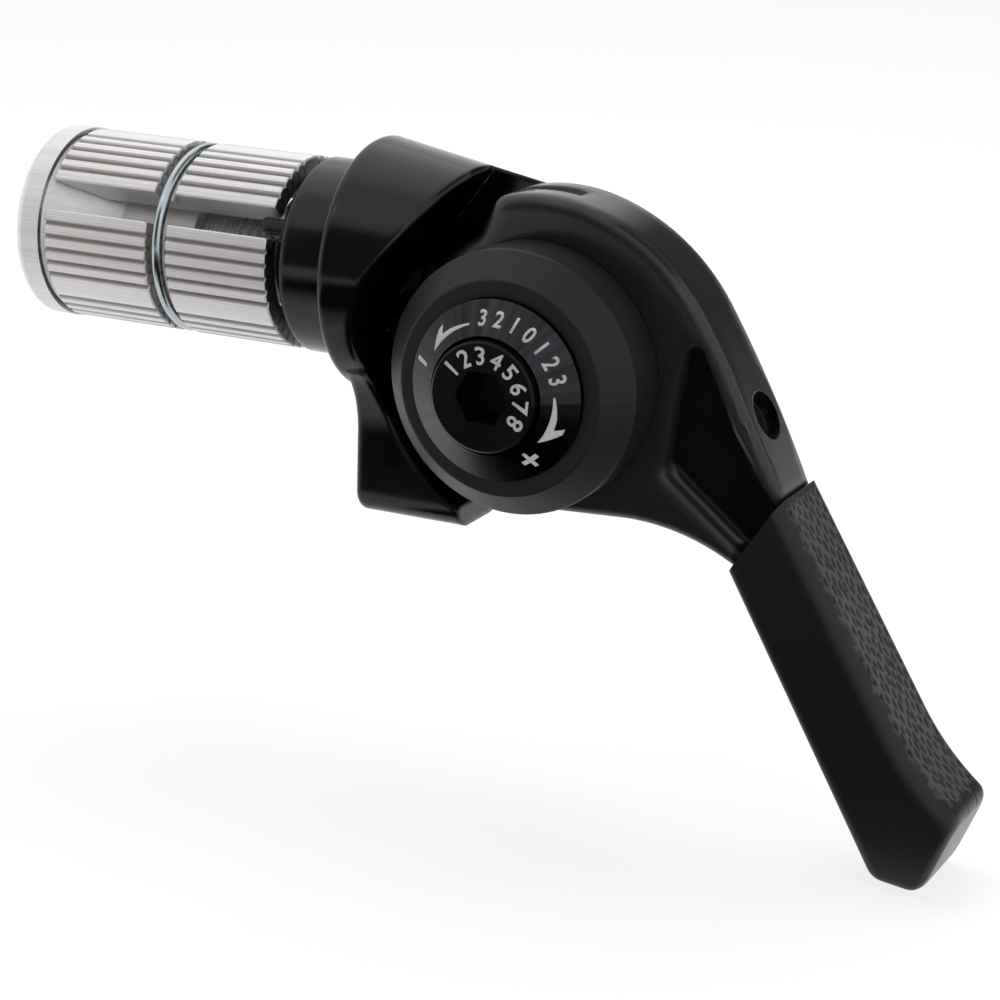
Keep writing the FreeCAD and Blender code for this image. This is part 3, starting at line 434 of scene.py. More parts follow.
def make_groups():
    """The effects that several finishes share."""
    return {
        "grain": effect_group("fine_grain", build_grain, "Grain", Size=1.0, Detail=3.0),
        "specks": effect_group("dust_specks", build_specks, "Specks", Spacing=3.0, Size=0.08, Share=0.3),
        "smudges": effect_group("smudges", build_smudges, "Smudges", Size=9.0),
        "lines": effect_group("tool_lines", build_lines, "Lines", Distance=0.0, Pitch=0.2),
    }


GROUPS = {}
MATERIALS = {}


def effect(tree, name, **inputs):
    """One shared effect placed in a material with its own values."""
    made = node(tree, "Group", node_tree=GROUPS[name])
    return filled(tree, made, inputs).outputs[0]


def soft_normal(tree, radius):
    """The normal of edges that look rounded by a radius in metres."""
    return node(tree, "Bevel", {"Radius": radius}, samples=BEVEL_RAYS).outputs[0]


def bump(tree, height, depth, soft=0.0):
    """A bump of the given depth in millimetres, over edges rounded by the soft radius."""
    inputs = {"Height": height, "Distance": depth * MM}
    if soft != 0:
        inputs["Normal"] = soft_normal(tree, soft)
    return node(tree, "Bump", inputs).outputs[0]


def empty_material(name):
    """A new material with only its output: the material, its tree and the output's first socket."""
    material = bpy.data.materials.new(name)
    material.use_nodes = True
    tree = material.node_tree
    tree.nodes.clear()
    return material, tree, tree.nodes.new("ShaderNodeOutputMaterial").inputs[0]


def new_finish(name, finish, *values, **constants):
    """A material whose finish(tree, *values) returns the sockets that vary; constants go on the shader."""
    MATERIALS[name], tree, surface = empty_material(name)
    shader = node(tree, "BsdfPrincipled", {label.replace("_", " "): v for label, v in constants.items()})
    filled(tree, shader, finish(tree, *values))
    tree.links.new(shader.outputs[0], surface)


def worn_and_lit_edges(tree):
    """Broken mask of the sharp edges, which are painted pale as partly wear and partly a painted highlight:
    where a rounded normal leans away from the true one.
    """
    normals = {0: soft_normal(tree, WEAR_AND_HIGHLIGHT_RADIUS), 1: node(tree, "NewGeometry").outputs["Normal"]}
    lean = node(tree, "VectorMath", normals, operation="DOT_PRODUCT").outputs["Value"]
    broken = ramp(tree, effect(tree, "grain", Size=1.6, Detail=3.0), 0.45, 0.62)
    return times(tree, ramp(tree, lean, 0.97, 0.8), broken)


def coated(tree, base, rough, peel, specks=0.25, soft=0.0, wear_and_highlight_share=0.0):
    """Coated surface: soft patches, orange peel, a few specks of dust, and edges painted pale by a share,
    partly wear and partly a painted highlight.
    """
    patches = effect(tree, "smudges", Size=8.0)
    fine = effect(tree, "grain", Size=0.22, Detail=3.0)
    wavy = effect(tree, "grain", Size=1.4, Detail=1.0)
    dust = effect(tree, "specks", Spacing=3.2, Size=0.075, Share=specks)
    shade = mottled(tree, fine, base, 0.82, 1.2)
    colour_out = blended(tree, dust, shade, (0.30, 0.29, 0.27, 1))
    if wear_and_highlight_share != 0:
        # Partly wear and partly painted highlight: the sharp edges are painted pale
        wear_and_highlight_mask = times(tree, worn_and_lit_edges(tree), wear_and_highlight_share)
        colour_out = blended(tree, wear_and_highlight_mask, colour_out, (0.34, 0.33, 0.32, 1))
    handled = ramp(tree, patches, 0, 1, rough * 0.85, rough * 1.3)
    spread = plus(tree, handled, times(tree, dust, 0.4))
    height = plus(tree, wavy, times(tree, fine, 0.12))
    return {"Base Color": colour_out, "Roughness": spread, "Normal": bump(tree, height, peel, soft)}


def turned_metal(tree, base, axis, pitch, rough):
    """Lathe-turned metal: lines square to an axis, fine grain and soft patches."""
    lines = effect(tree, "lines", Distance=parts(tree, millimetres(tree))[axis], Pitch=pitch)
    fine = effect(tree, "grain", Size=0.35, Detail=4.0)
    patches = effect(tree, "smudges", Size=5.0)
    shade = mottled(tree, lines, base, 0.86, 1.04)
    shade = blended(tree, ramp(tree, patches, 0, 1, 0.0, 0.25), shade, rgba(base, 0.8))
    spread = ramp(tree, plus(tree, lines, fine), 0.7, 1.4, rough * 0.7, rough * 1.5)
    height = plus(tree, lines, times(tree, fine, 0.35))
    return {"Base Color": shade, "Roughness": spread, "Normal": bump(tree, height, 0.012)}


def plated_bolt(tree, base, head):
    """The bolt: turned steel on the thread, and the head, deep inside the pod, painted black as painted
    shade.
    """
    sockets = turned_metal(tree, base, 0, 0.25, 0.3)
    # Painted shade: the head takes the cap's black
    black = attribute(tree, "head")
    sockets["Base Color"] = blended(tree, black, sockets["Base Color"], rgba(head))
    return sockets


def round_axis(tree, spot, first):
    """Direction of travel round an axis, in world space, from the first and the last number of a place."""
    across = node(tree, "CombineXYZ", {first: times(tree, spot[2], -1.0), 2: spot[first]}).outputs[0]
    spaces = {"vector_type": "VECTOR", "convert_from": "OBJECT", "convert_to": "WORLD"}
    return node(tree, "VectorTransform", {0: across}, **spaces).outputs[0]


def drawn_alloy(tree, base, groove):
    """The plug's alloy: fine lines along the plug, soft patches, and grooves painted a darker pinkish grey as
    painted shade.
    """
    spot = parts(tree, millimetres(tree))
    turn = sums(tree, "ARCTAN2", spot[2], spot[1])
    lines = effect(tree, "lines", Distance=turn, Pitch=0.02)
    broad = effect(tree, "lines", Distance=turn, Pitch=0.16)
    fine = effect(tree, "grain", Size=0.3, Detail=4.0)
    shade = mottled(tree, lines, base, 0.84, 1.06)
    shade = blended(tree, ramp(tree, broad, 0.42, 0.7, 0.0, 0.3), shade, rgba(base, 0.72))
    # Painted shade: the deeper a point lies in a groove, the more it takes the darker groove colour
    depth = attribute(tree, "groove")
    shade = blended(tree, ramp(tree, depth, 0.05, 0.7), shade, rgba(groove))
    spread = ramp(tree, plus(tree, lines, fine), 0.7, 1.4, 0.4, 0.54)
    normal = bump(tree, plus(tree, lines, times(tree, fine, 0.35)), 0.01)
    return {"Base Color": shade, "Roughness": spread, "Normal": normal, "Tangent": round_axis(tree, spot, 1)}


def from_pivot(tree):
    """Object coordinates in millimetres from the lever's pivot, split."""
    places = {0: millimetres(tree), 1: tuple(pivot() / MM)}
    return parts(tree, node(tree, "VectorMath", places, operation="SUBTRACT").outputs[0])


def about_pivot(tree):
    """Distance from the dial's axis and turn about it, in millimetres and radians, and the place itself."""
    spot = from_pivot(tree)
    radius = sums(tree, "SQRT", plus(tree, times(tree, spot[0], spot[0]), times(tree, spot[2], spot[2])))
    return radius, sums(tree, "ARCTAN2", spot[2], spot[0]), spot


def hole_clear(tree):
    """Radius in metres of the lever's soft edges: large, but small round the cable's hole."""
    hole = next(m for m in frame["record"]["mounts"] if m["name"] == "cable_anchor")
    mouth = tuple(v / MM for v in hole["pos_m"])
    apart = node(tree, "VectorMath", {0: millimetres(tree), 1: mouth}, operation="DISTANCE").outputs["Value"]
    return ramp(tree, apart, *HOLE_REACH, HOLE_EDGE, LEVER_EDGE)


def lever_coat(tree, satin, gloss_and_shade):
    """The lever: satin black, but a darker gloss black on the sunken face of its pocket, partly the gloss
    coat and partly painted shade in the recess.
    """
    deep = from_pivot(tree)[1]
    facing = parts(tree, node(tree, "TexCoord").outputs["Normal"])[1]
    sunk = times(tree, ramp(tree, deep, *POCKET_DEPTH), ramp(tree, facing, -0.3, -0.8))
    patches = effect(tree, "smudges", Size=8.0)
    fine = effect(tree, "grain", Size=0.16, Detail=4.0)
    dust = effect(tree, "specks", Spacing=3.2, Size=0.07, Share=0.2)
    shade = mottled(tree, fine, satin, 0.82, 1.2)
    # Partly gloss and partly painted shade: the pocket's sunken face takes the darker colour
    shade = blended(tree, sunk, shade, rgba(gloss_and_shade))
    shade = blended(tree, dust, shade, (0.26, 0.25, 0.24, 1))
    rough = ramp(tree, patches, 0, 1, 0.15, 0.22)
    spread = sums(tree, "SUBTRACT", rough, times(tree, sunk, 0.05))
    return {"Base Color": shade, "Roughness": spread, "Normal": bump(tree, fine, 0.001, hole_clear(tree))}


def satin_dial(tree, base):
    """The dial: fine grain, faint turned lines, dust."""
    lines = effect(tree, "lines", Distance=about_pivot(tree)[0], Pitch=0.16)
    fine = effect(tree, "grain", Size=0.12, Detail=4.0)
    patches = effect(tree, "smudges", Size=7.0)
    dust = effect(tree, "specks", Spacing=3.4, Size=0.07, Share=0.22)
    shade = mottled(tree, fine, base, 0.8, 1.22)
    shade = blended(tree, dust, shade, (0.26, 0.25, 0.24, 1))
    spread = ramp(tree, patches, 0, 1, 0.36, 0.47)
    height = plus(tree, times(tree, lines, 0.5), fine)
    return {"Base Color": shade, "Roughness": spread, "Normal": bump(tree, height, 0.006)}


def polished_ring(tree, base):
    """The polished ring: fine turned lines, and lighter and darker streaks that run out from the axis,
    painted into its colour as a painted reflection of fan-shaped highlights.
    """
    radius, turn, spot = about_pivot(tree)
    lines = effect(tree, "lines", Distance=radius, Pitch=0.09)
    rays = effect(tree, "lines", Distance=turn, Pitch=0.12)
    # Painted reflection: radial streaks of lighter and darker colour
    shade = blended(tree, ramp(tree, rays, 0.35, 0.7), rgba(base, 0.8), rgba(base, 1.35))
    spread = ramp(tree, lines, 0.3, 0.7, 0.2, 0.3)
    normal = bump(tree, lines, 0.004)
    return {"Base Color": shade, "Roughness": spread, "Normal": normal, "Tangent": round_axis(tree, spot, 0)}


def parting_line(tree):
    """Thin line that runs along the front face at a set distance from the grip's lower edge."""
    spot = from_pivot(tree)
    across = 1j * unit(TOE - SEAM_LOW)
    start = (SEAM_LOW * np.conj(across)).real + PARTING
    side = sums(tree, "MULTIPLY_ADD", spot[2], float(across.imag), float(-start))
    apart = sums(tree, "MULTIPLY_ADD", spot[0], float(across.real), side)
    thin = ramp(tree, sums(tree, "ABSOLUTE", apart), 0.09, 0.03)
    return times(tree, thin, 0.5)


def grip_rubber(tree, base, pebble_highlight):
    """The grip: smooth dark rubber; on the thumb face a paler network round the dimples, painted light on the
    ridges with painted shade in the dimples; and a paler end face, a painted reflection.
    """
    lit_ridge = attribute(tree, "lit_ridge")
    fine = effect(tree, "grain", Size=0.09, Detail=4.0)
    patches = effect(tree, "smudges", Size=6.0)
    dust = effect(tree, "specks", Spacing=4.0, Size=0.07, Share=0.16)
    plain = mottled(tree, fine, base, 0.75, 1.3)
    # Painted light and shade: the raised network is painted paler than the dimples
    lit_net = blended(tree, patches, rgba(pebble_highlight, 0.85), rgba(pebble_highlight, 1.15))
    shade = blended(tree, lit_ridge, plain, lit_net)
    # Painted reflection: the end face is painted paler, standing in for the sheen it catches at a grazing
    # angle; its roughness is lowered too
    end = ramp(tree, attribute(tree, "end"), 0.2, 0.9)
    shade = blended(tree, end, shade, rgba(base, 6.0))
    shade = blended(tree, parting_line(tree), shade, rgba(base, 3.2))
    shade = blended(tree, dust, shade, (0.2, 0.19, 0.18, 1))
    spread = ramp(tree, fine, 0.3, 0.7, 0.42, 0.56)
    spread = times(tree, spread, ramp(tree, end, 0, 1, 1.0, 0.6))
    return {"Base Color": shade, "Roughness": spread, "Normal": bump(tree, fine, 0.008)}


def printed(tree, base):
    """The printed marks: slightly uneven pale ink."""
    fine = effect(tree, "grain", Size=0.1, Detail=3.0)
    shade = mottled(tree, fine, base, 0.8, 1.12)
    return {"Base Color": shade, "Roughness": ramp(tree, fine, 0.3, 0.7, 0.5, 0.7)}


def make_finishes(colours):
    """One material for each slot of the record, one for the print and one for the bolt."""
    pod = (colours.pod, 0.14, 0.004, 0.25, POD_EDGE, POD_WEAR_AND_HIGHLIGHT)
    new_finish("pod_black", coated, *pod, Specular_IOR_Level=0.36)
    new_finish("lever_black", lever_coat, colours.lever, colours.pocket, Specular_IOR_Level=0.5)
    new_finish("screw_black", coated, colours.cap, 0.3, 0.002, 0.05, Specular_IOR_Level=0.15)
    new_finish("dial_matte", satin_dial, colours.dial, Specular_IOR_Level=0.22)
    new_finish("dial_gloss", polished_ring, colours.ring, Metallic=1.0, Anisotropic=0.75)
    new_finish("grip_rubber", grip_rubber, colours.rubber, colours.pebble_highlight, Specular_IOR_Level=0.42)
    new_finish("dial_print", printed, colours.print, Specular_IOR_Level=0.3)
    new_finish("plug_alloy", drawn_alloy, colours.alloy, colours.groove, Metallic=1.0, Anisotropic=0.9)
    new_finish("plated_bolt", plated_bolt, colours.bolt, colours.cap, Metallic=0.35)
    new_finish("zinc_steel", turned_metal, colours.zinc, 0, 0.3, 0.2, Metallic=1.0)
    new_finish("steel", turned_metal, colours.steel, 0, 0.25, 0.36, Metallic=1.0)
    new_finish("polished_steel", turned_metal, colours.steel, 1, 0.4, 0.1, Metallic=1.0)
    new_finish("bronze", turned_metal, colours.bronze, 1, 0.3, 0.35, Metallic=1.0)
    new_finish("nylon", coated, colours.nylon, 0.45, 0.004, Specular_IOR_Level=0.4)


# Places taken from the frame

def pivot():
    """Middle of the lever's hinge, from the record."""
    joint = next(j for j in frame["joints"] if j["name"] == "lever_turn")
    return Vector(joint["pos_m"])


# Plug

def groove_turns(sizes):
    """Turns of the groove middles, counted from a shell's first edge: a row beside each edge."""
    sweep = FULL_TURN / 3 - sizes.slot_width
    first = sizes.groove_pitch * np.arange(1, sizes.groove_count + 1)
    return sweep, np.concatenate([first, (sweep - first)[::-1]])


def shell_turns(sizes):
    """Samples round a shell: several across each groove, a few on the smooth land and the edges."""
    sweep, middles = groove_turns(sizes)
    half = sizes.groove_width / sizes.outer_radius / 2
    across = np.array([-1.25, -1.05, -0.95, -0.75, -0.4, -0.1, 0.1, 0.4, 0.75, 0.95, 1.05, 1.25]) * half
    land = np.linspace(middles[sizes.groove_count - 1] + 2 * half, middles[sizes.groove_count] - 2 * half, 10)
    edge = np.array([0, 0.25, 1]) * sizes.edge / sizes.outer_radius
    return np.sort(np.concatenate([(middles[:, None] + across).ravel(), land, edge, sweep - edge]))


def groove_dip(sizes, turns):
    """Depth share at each turn of a V with a softened bottom and lips at every groove, and the depth in
    metres of the chamfer at both edges."""
    sweep, middles = groove_turns(sizes)
    half = sizes.groove_width / sizes.outer_radius / 2
    apart = np.abs(turns[:, None] - middles).min(1) / half
    vee = np.clip(1.12 - np.sqrt(apart ** 2 + 0.015), 0, None)
    edge = np.minimum(turns, sweep - turns) * sizes.outer_radius
    chamfer = np.clip(1 - edge / sizes.edge, 0, 1) * sizes.edge
    return smooth_step(0.0, 0.25, vee) * vee, chamfer


def shell_profile(sizes):
    """Closed outline of a shell along the plug: x, radius, and 1 where the grooves cut it."""
    left, right, e = -sizes.shell_left, -sizes.shell_right, sizes.edge
    low = -sizes.band_place - sizes.band_width / 2
    high = -sizes.band_place + sizes.band_width / 2
    outer, bore, band = sizes.outer_radius, sizes.inner_radius, sizes.band_radius
    far = left + (sizes.left_bore - bore) / math.tan(sizes.left_cone)
    near = right - (sizes.right_bore - bore) / math.tan(sizes.right_cone)
    points = [(left, sizes.left_bore, 0), (left, outer - e, 1), (left + e, outer, 1)]
    points += [(x, outer, 1) for x in np.linspace(left + 4 * e, low - 4 * e, 14)]
    points += [(low - e, outer, 1), (low, outer - e, 1), (low, band, 0), (high, band, 0)]
    points += [(high, outer - e, 1), (high + e, outer, 1)]
    points += [(x, outer, 1) for x in np.linspace(high + 4 * e, right - 4 * e, 14)]
    points += [(right - e, outer, 1), (right, outer - e, 1), (right, sizes.right_bore, 0)]
    points += [(near, bore, 0), (far, bore, 0)]
    return np.array(points)


def shell_rings(sizes, number):
    """The outline carried round the plug; its outer line is lowered by the grooves at each turn.
    Also returns how deep in a groove each point lies."""
    turns = shell_turns(sizes)
    x, radius, cut = shell_profile(sizes).T
    vee, chamfer = groove_dip(sizes, turns)
    start = sizes.slot_middle + sizes.slot_width / 2 + number * FULL_TURN / 3
    radii = radius - np.outer(vee * sizes.groove_depth + chamfer, cut)
    return about_plug(x[None, :], radii, (turns + start)[:, None]) / MM, np.outer(vee, cut)


class SHIFTER_OT_shells(bpy.types.Operator):
    """Builds the three serrated shells of the plug"""

    bl_idname = "shifter.shells"
    bl_label = "Plug shells"

    def execute(self, context):
        sizes = context.scene.shifter_plug
        for number in range(3):
            rings, depth = shell_rings(sizes, number)
            tube = closed_tube(rings)
            label = "segment_%d" % (number + 1)
            name = "serrated_shell_%d" % (number + 1)
            piece = new_piece(name, *tube, label, "plug_alloy", ["grip_" + label], sharp=SHELL_SHARP)
            # Groove depth, which the alloy's material turns into painted shade
            add_values(piece, "groove", depth)
        return {"FINISHED"}


def hexagon_radius(turn, flats):
    """Distance from the middle of a hexagon to its side at each turn."""
    sixth = FULL_TURN / 6
    return flats / 2 / np.cos((turn + sixth / 2) % sixth - sixth / 2)


def bolt_rings(sizes, columns=72):
    """Rings from the bolt's tip to the bottom of its socket.
    On the thread the radius is the crest less a triangle wave of x and turn, so the crests climb as a helix;
    the wave fades out at both ends. The socket's rings take the hexagon's radius."""
    low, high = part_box("expander_bolt")
    tip, top = low.x, high.x
    seat = top - sizes.head_length
    turn = np.arange(columns) / columns * FULL_TURN
    crest, head = sizes.bolt_radius, sizes.head_radius
    lead, bevel, bare, chamfer, lip = 0.4 * MM, 0.5 * MM, 0.5 * MM, 0.3 * MM, 0.2 * MM
    fade_in, fade_start, fade_stop = 1.2 * MM, 3 * MM, 1.5 * MM
    x = np.arange(tip + lead, seat - bare, sizes.thread_pitch / 12)[:, None]
    phase = (x / sizes.thread_pitch + turn / FULL_TURN) % 1
    wave = np.clip(np.abs(phase * 2 - 1) * 1.25 - 0.12, 0, 1)
    fade = smooth_step(tip, tip + fade_in, x) * (1 - smooth_step(seat - fade_start, seat - fade_stop, x))
    thread = about_plug(x, crest - sizes.thread_depth * wave * fade, turn)
    hexagon = hexagon_radius(turn, sizes.socket)
    floor = top - sizes.socket_depth
    before = [(tip, crest - bevel - lip), (tip, crest - bevel)]
    after = [
        (seat, crest), (seat, head - chamfer), (seat + chamfer / 2, head), (top - chamfer, head),
        (top, head - chamfer), (top, hexagon + lip), (top - lip, hexagon), (floor, hexagon),
    ]
    first, last = ([about_plug(x, r, turn)[None] for x, r in rows] for rows in (before, after))
    return np.concatenate([*first, thread, *last]) / MM


class SHIFTER_OT_bolt(bpy.types.Operator):
    """Builds the threaded bolt of the plug"""

    bl_idname = "shifter.bolt"
    bl_label = "Expander bolt"

    def execute(self, context):
        sizes = context.scene.shifter_plug
        points, faces = closed_tube(bolt_rings(sizes))
        piece = new_piece("threaded_bolt", points, faces, "bolt", "steel", ["expander_bolt"], "plated_bolt")
        seat = points[:, 0].max() - sizes.head_length / MM
        # Marks the head, which the bolt's material paints black as painted shade
        add_values(piece, "head", points[:, 0] > seat - 0.01)
        return {"FINISHED"}


# Grip, with its outline in complex numbers: x + z i in millimetres from the lever's pivot

SEAM_LOW = 20.866 - 16.434j
SEAM_TOP = 25.687 - 8.827j
WAIST = 38.2 - 29.2j
LIP = 45.0 - 36.6j
HEEL = 41.7 - 44.7j
TOE = 36.8 - 44.05j
FLARE_BEND = math.radians(22)
END_ROUND = 2.0
LIP_ROUND = 1.4
PARTING = 1.1


def unit(step):
    return step / np.abs(step)


def arc_points(start, end, bend, count):
    """Points on the arc from start to end whose direction turns by the bend."""
    centre = (start + end) / 2 + (end - start) * 0.5j / math.tan(bend / 2)
    return centre + (start - centre) * np.exp(1j * np.linspace(0, bend, count))


def corner_round(before, corner, after, radius, count):
    """Points on the arc of the given radius that touches both sides of a corner."""
    into, out = unit(before - corner), unit(after - corner)
    bend = np.angle(-out / into)
    reach = radius * abs(math.tan(bend / 2))
    return arc_points(corner + into * reach, corner + out * reach, bend, count)


def resampled(path, count):
    """The path at evenly spaced arc lengths, and its length."""
    run = np.concatenate([[0], np.cumsum(np.abs(np.diff(path)))])
    return np.interp(np.linspace(0, run[-1], count), run, path), run[-1]


def grip_rails(count, end_count):
    """The thumb edge and the lower edge as two rows of points, from the seam to the end face.
    Both edges are evenly divided up to their end corners; then the thumb edge follows the arc of the lip
    while the lower edge follows the arcs of the toe and the heel."""
    flare = arc_points(WAIST, LIP, FLARE_BEND, 60)
    lip = corner_round(flare[-2], LIP, HEEL, LIP_ROUND, 2 * end_count)
    reach = np.abs(flare - LIP) > np.abs(lip[0] - LIP)
    top, run = resampled(np.concatenate([[SEAM_TOP], flare[reach], lip[:1]]), count)
    toe = corner_round(SEAM_LOW, TOE, HEEL, END_ROUND, end_count)
    heel = corner_round(TOE, HEEL, LIP, END_ROUND, end_count)
    low, _ = resampled(np.array([SEAM_LOW, toe[0]]), count)
    return np.concatenate([top, lip[1:]]), np.concatenate([low, toe[1:], heel]), run


def section_points(sizes, face_count, thumb_count, round_count):
    """A rounded rectangle once round: for each point, its share of the way from the lower to the thumb
    edge, its distance in from the nearer edge, and its place from front to back in millimetres."""
    front, back = sizes.front / MM, sizes.back / MM
    fr, br, lr = sizes.front_round / MM, sizes.back_round / MM, sizes.low_round / MM
    quarter = np.linspace(0, math.pi / 2, round_count)
    cos, sin = np.cos(quarter), np.sin(quarter)
    flat = np.linspace(0, 1, face_count)[1:-1]
    span = np.linspace(0, 1, thumb_count)[1:-1]
    few = np.linspace(0, 1, 12)[1:-1]
    back_flat = flat[::-1]
    sides = [
        (0 * cos, lr * (1 - cos), front + lr * (1 - sin)),
        (flat, lr * (1 - flat) - fr * flat, front + 0 * flat),
        (0 * cos + 1, -fr * (1 - sin), front + fr * (1 - cos)),
        (0 * span + 1, 0 * span, (front + fr) * (1 - span) + (back - br) * span),
        (0 * cos + 1, -br * (1 - cos), back - br * (1 - sin)),
        (back_flat, lr * (1 - back_flat) - br * back_flat, back + 0 * flat),
        (0 * cos, lr * (1 - sin), back - lr * (1 - cos)),
        (0 * few, 0 * few, (back - lr) * (1 - few) + (front + lr) * few),
    ]
    return [np.concatenate(columns) for columns in zip(*sides)]


def dimples(along, across, sizes, seed=7):
    """Depth share of the dimpled pattern: each cell of a staggered grid holds one ellipse, moved, turned and
    sized a little at random; a point takes the nearest ellipse of the nine cells round it."""
    tile = 64
    draw = np.random.default_rng(seed).random((tile, tile, 4))
    pitch_a, pitch_b = sizes.dimple_length / MM, sizes.dimple_width / MM
    row = across / pitch_b
    nearest = np.full(along.shape, 9.0)
    for step_b in (-1, 0, 1):
        j = np.floor(row).astype(int) + step_b
        shifted = along / pitch_a + 0.5 * (j % 2)
        for step_a in (-1, 0, 1):
            i = np.floor(shifted).astype(int) + step_a
            random = draw[i % tile, j % tile]
            da = (shifted - i - 0.5 - 0.34 * (random[..., 0] - 0.5)) * pitch_a
            db = (row - j - 0.5 - 0.36 * (random[..., 1] - 0.5)) * pitch_b
            lean = 0.7 * (random[..., 2] - 0.5)
            size = 0.86 + 0.3 * random[..., 3]
            a = (da * np.cos(lean) + db * np.sin(lean)) / (0.45 * pitch_a * size)
            b = (db * np.cos(lean) - da * np.sin(lean)) / (0.35 * pitch_b * size)
            nearest = np.minimum(nearest, np.sqrt(a * a + b * b))
    return 1 - smooth_step(0.6, 1.05, nearest)


def pebbled_zone(sizes, along, y, run):
    """1 on the pebbled part of the thumb face and 0 elsewhere: it stops short of the seam, the end and the
    rounded edges, and its limits wander by two sine waves."""
    ragged = 0.35 * np.sin(y * 2.3) + 0.2 * np.sin(y * 5.1 + 1)
    wander = 0.22 * np.sin(along * 1.7) + 0.14 * np.sin(along * 4.3)
    front_edge = (sizes.front + sizes.front_round) / MM
    back_edge = (sizes.back - sizes.back_round) / MM
    lengthwise = smooth_step(0.5, 1.0, along) * (1 - smooth_step(run - 0.7, run - 0.3, along + ragged))
    crosswise = smooth_step(front_edge - 0.8, front_edge - 0.3, y + wander)
    return lengthwise * crosswise * (1 - smooth_step(back_edge - 0.2, back_edge + 0.4, y))


def grip_rings(sizes):
    """Sections carried from the seam to the end face. A section spans from the lower to the thumb edge of its
    station; near the end face its front and back draw in by a quarter circle of the reach to that face. The
    thumb face is lowered along its normal by the dimples. Also returns how raised the pebbled network is and
    how near the end face each point lies."""
    count, end_count = 330, 12
    top, low, run = grip_rails(count, end_count)
    share_up, inset, depth = section_points(sizes, face_count=16, thumb_count=84, round_count=12)
    across = (top - low)[:, None]
    up = share_up + inset / np.abs(across)
    flat = low[:, None] + across * up
    reach = ((LIP - flat) * np.conj(1j * unit(HEEL - LIP))).real
    near = np.clip(1 - reach * MM / sizes.end_round, 0, 1)
    middle = (sizes.front + sizes.back) / 2 / MM
    half = (sizes.back - sizes.front) / 2 / MM
    draw_in = sizes.end_round / MM * (1 - np.sqrt(1 - near ** 2))
    y = middle + (1 - draw_in / half) * (depth - middle)
    station = np.arange(len(top))
    along = np.broadcast_to((np.minimum(station / (count - 1), 1) * run)[:, None], y.shape)
    zone = pebbled_zone(sizes, along, y, run) * (up > 0.9)
    dip = dimples(along, y, sizes) * zone
    inward = -1j * unit(np.gradient(top))[:, None]
    flat = flat + inward * dip * sizes.dimple_depth / MM
    centre = pivot() / MM
    rings = np.stack([flat.real + centre.x, y, flat.imag + centre.z], -1)
    return rings, zone * (1 - dip), near


class SHIFTER_OT_grip(bpy.types.Operator):
    """Builds the rubber grip with its dimpled thumb face"""

    bl_idname = "shifter.grip"
    bl_label = "Lever grip"

    def execute(self, context):
        rings, lit_ridge, near = grip_rings(context.scene.shifter_grip)
        piece = new_piece("rubber_grip", *closed_tube(rings), "lever", "grip_rubber", ["lever_grip"])
        # Mask of the raised network, which the grip's material paints paler as painted light
        add_values(piece, "lit_ridge", lit_ridge)
        # Nearness to the end face, which the grip's material paints paler as a painted reflection
        add_values(piece, "end", near)
        return {"FINISHED"}


# Marks on the dial

NUMERAL_SHARE = 0.7
GLYPH_SPREAD = 0.00004
RING_MARKS = (
    (((165.6, 6.75), (162.6, 6.75)), ((165.6, 8.25), (162.6, 8.25))),
    (((-51.5, 6.35), (-54.5, 6.35)), ((-51.5, 7.95), (-54.5, 7.95))),
    (((-46.0, 6.95), (-51.5, 6.95)), ((-46.0, 7.38), (-51.5, 7.38))),
    (((-54.5, 6.95), (-60.0, 6.95)), ((-54.5, 7.38), (-60.0, 7.38))),
    (
        ((109.0, 6.68), (127.0, 6.65), (135.5, 6.63), (138.5, 6.62), (141.0, 6.61), (149.5, 6.60)),
        ((109.0, 6.82), (127.0, 7.05), (135.5, 7.12), (133.0, 7.85), (137.5, 7.72), (149.5, 6.62)),
    ),
    (
        ((5.5, 6.62), (-12.0, 6.55), (-21.5, 6.51), (-25.0, 6.50), (-27.5, 6.49), (-36.0, 6.45)),
        ((5.5, 6.78), (-12.0, 7.06), (-21.5, 7.10), (-18.0, 7.90), (-22.5, 7.85), (-36.0, 6.47)),
    ),
)
RING_NUMERALS = ("3", "2", "1", "0", "1", "2", "3")
RING_ARC = (98.0, 18.0)
RING_TEXT = (7.15, 1.3)
CAP_NUMERALS = ("1", "2", "3", "4", "5", "6", "7", "8")
CAP_ARC = (143.0, -29.0)
CAP_TEXT = (3.95, 1.65)


def ring_height(sizes, radius):
    """Place of the ring's cone at each radius, a straight line from its outer to its inner edge."""
    slope = (sizes.ring_high - sizes.ring_low) / (sizes.ring_outer - sizes.ring_inner)
    return sizes.ring_low + (sizes.ring_outer - radius) * slope


def cap_height(sizes, radius):
    """The cap's face is flat."""
    return sizes.cap + 0 * radius


def between_corners(corners, per_side):
    """Points along a row of corners, evenly spaced on each side."""
    corners = np.array(corners, float)
    at = np.linspace(0, len(corners) - 1, (len(corners) - 1) * per_side + 1)
    return np.stack([np.interp(at, np.arange(len(corners)), corners[:, k]) for k in (0, 1)], -1)


def glyph_outline(text, height):
    """Flat mesh of a numeral, centred, with its height along y; points in metres and its faces."""
    curve = bpy.data.curves.new("glyph", "FONT")
    curve.body = text
    curve.size = height / NUMERAL_SHARE
    curve.resolution_u = 4
    curve.offset = GLYPH_SPREAD
    holder = bpy.data.objects.new("glyph", curve)
    mesh = bpy.data.meshes.new_from_object(holder)
    flat = np.zeros(len(mesh.vertices) * 3, np.float32)
    mesh.vertices.foreach_get("co", flat)
    faces = [tuple(p.vertices) for p in mesh.polygons]
    bpy.data.batch_remove((holder, curve, mesh))
    points = flat.reshape(-1, 3)[:, :2].astype(float)
    return points - (points.min(0) + points.max(0)) / 2, faces


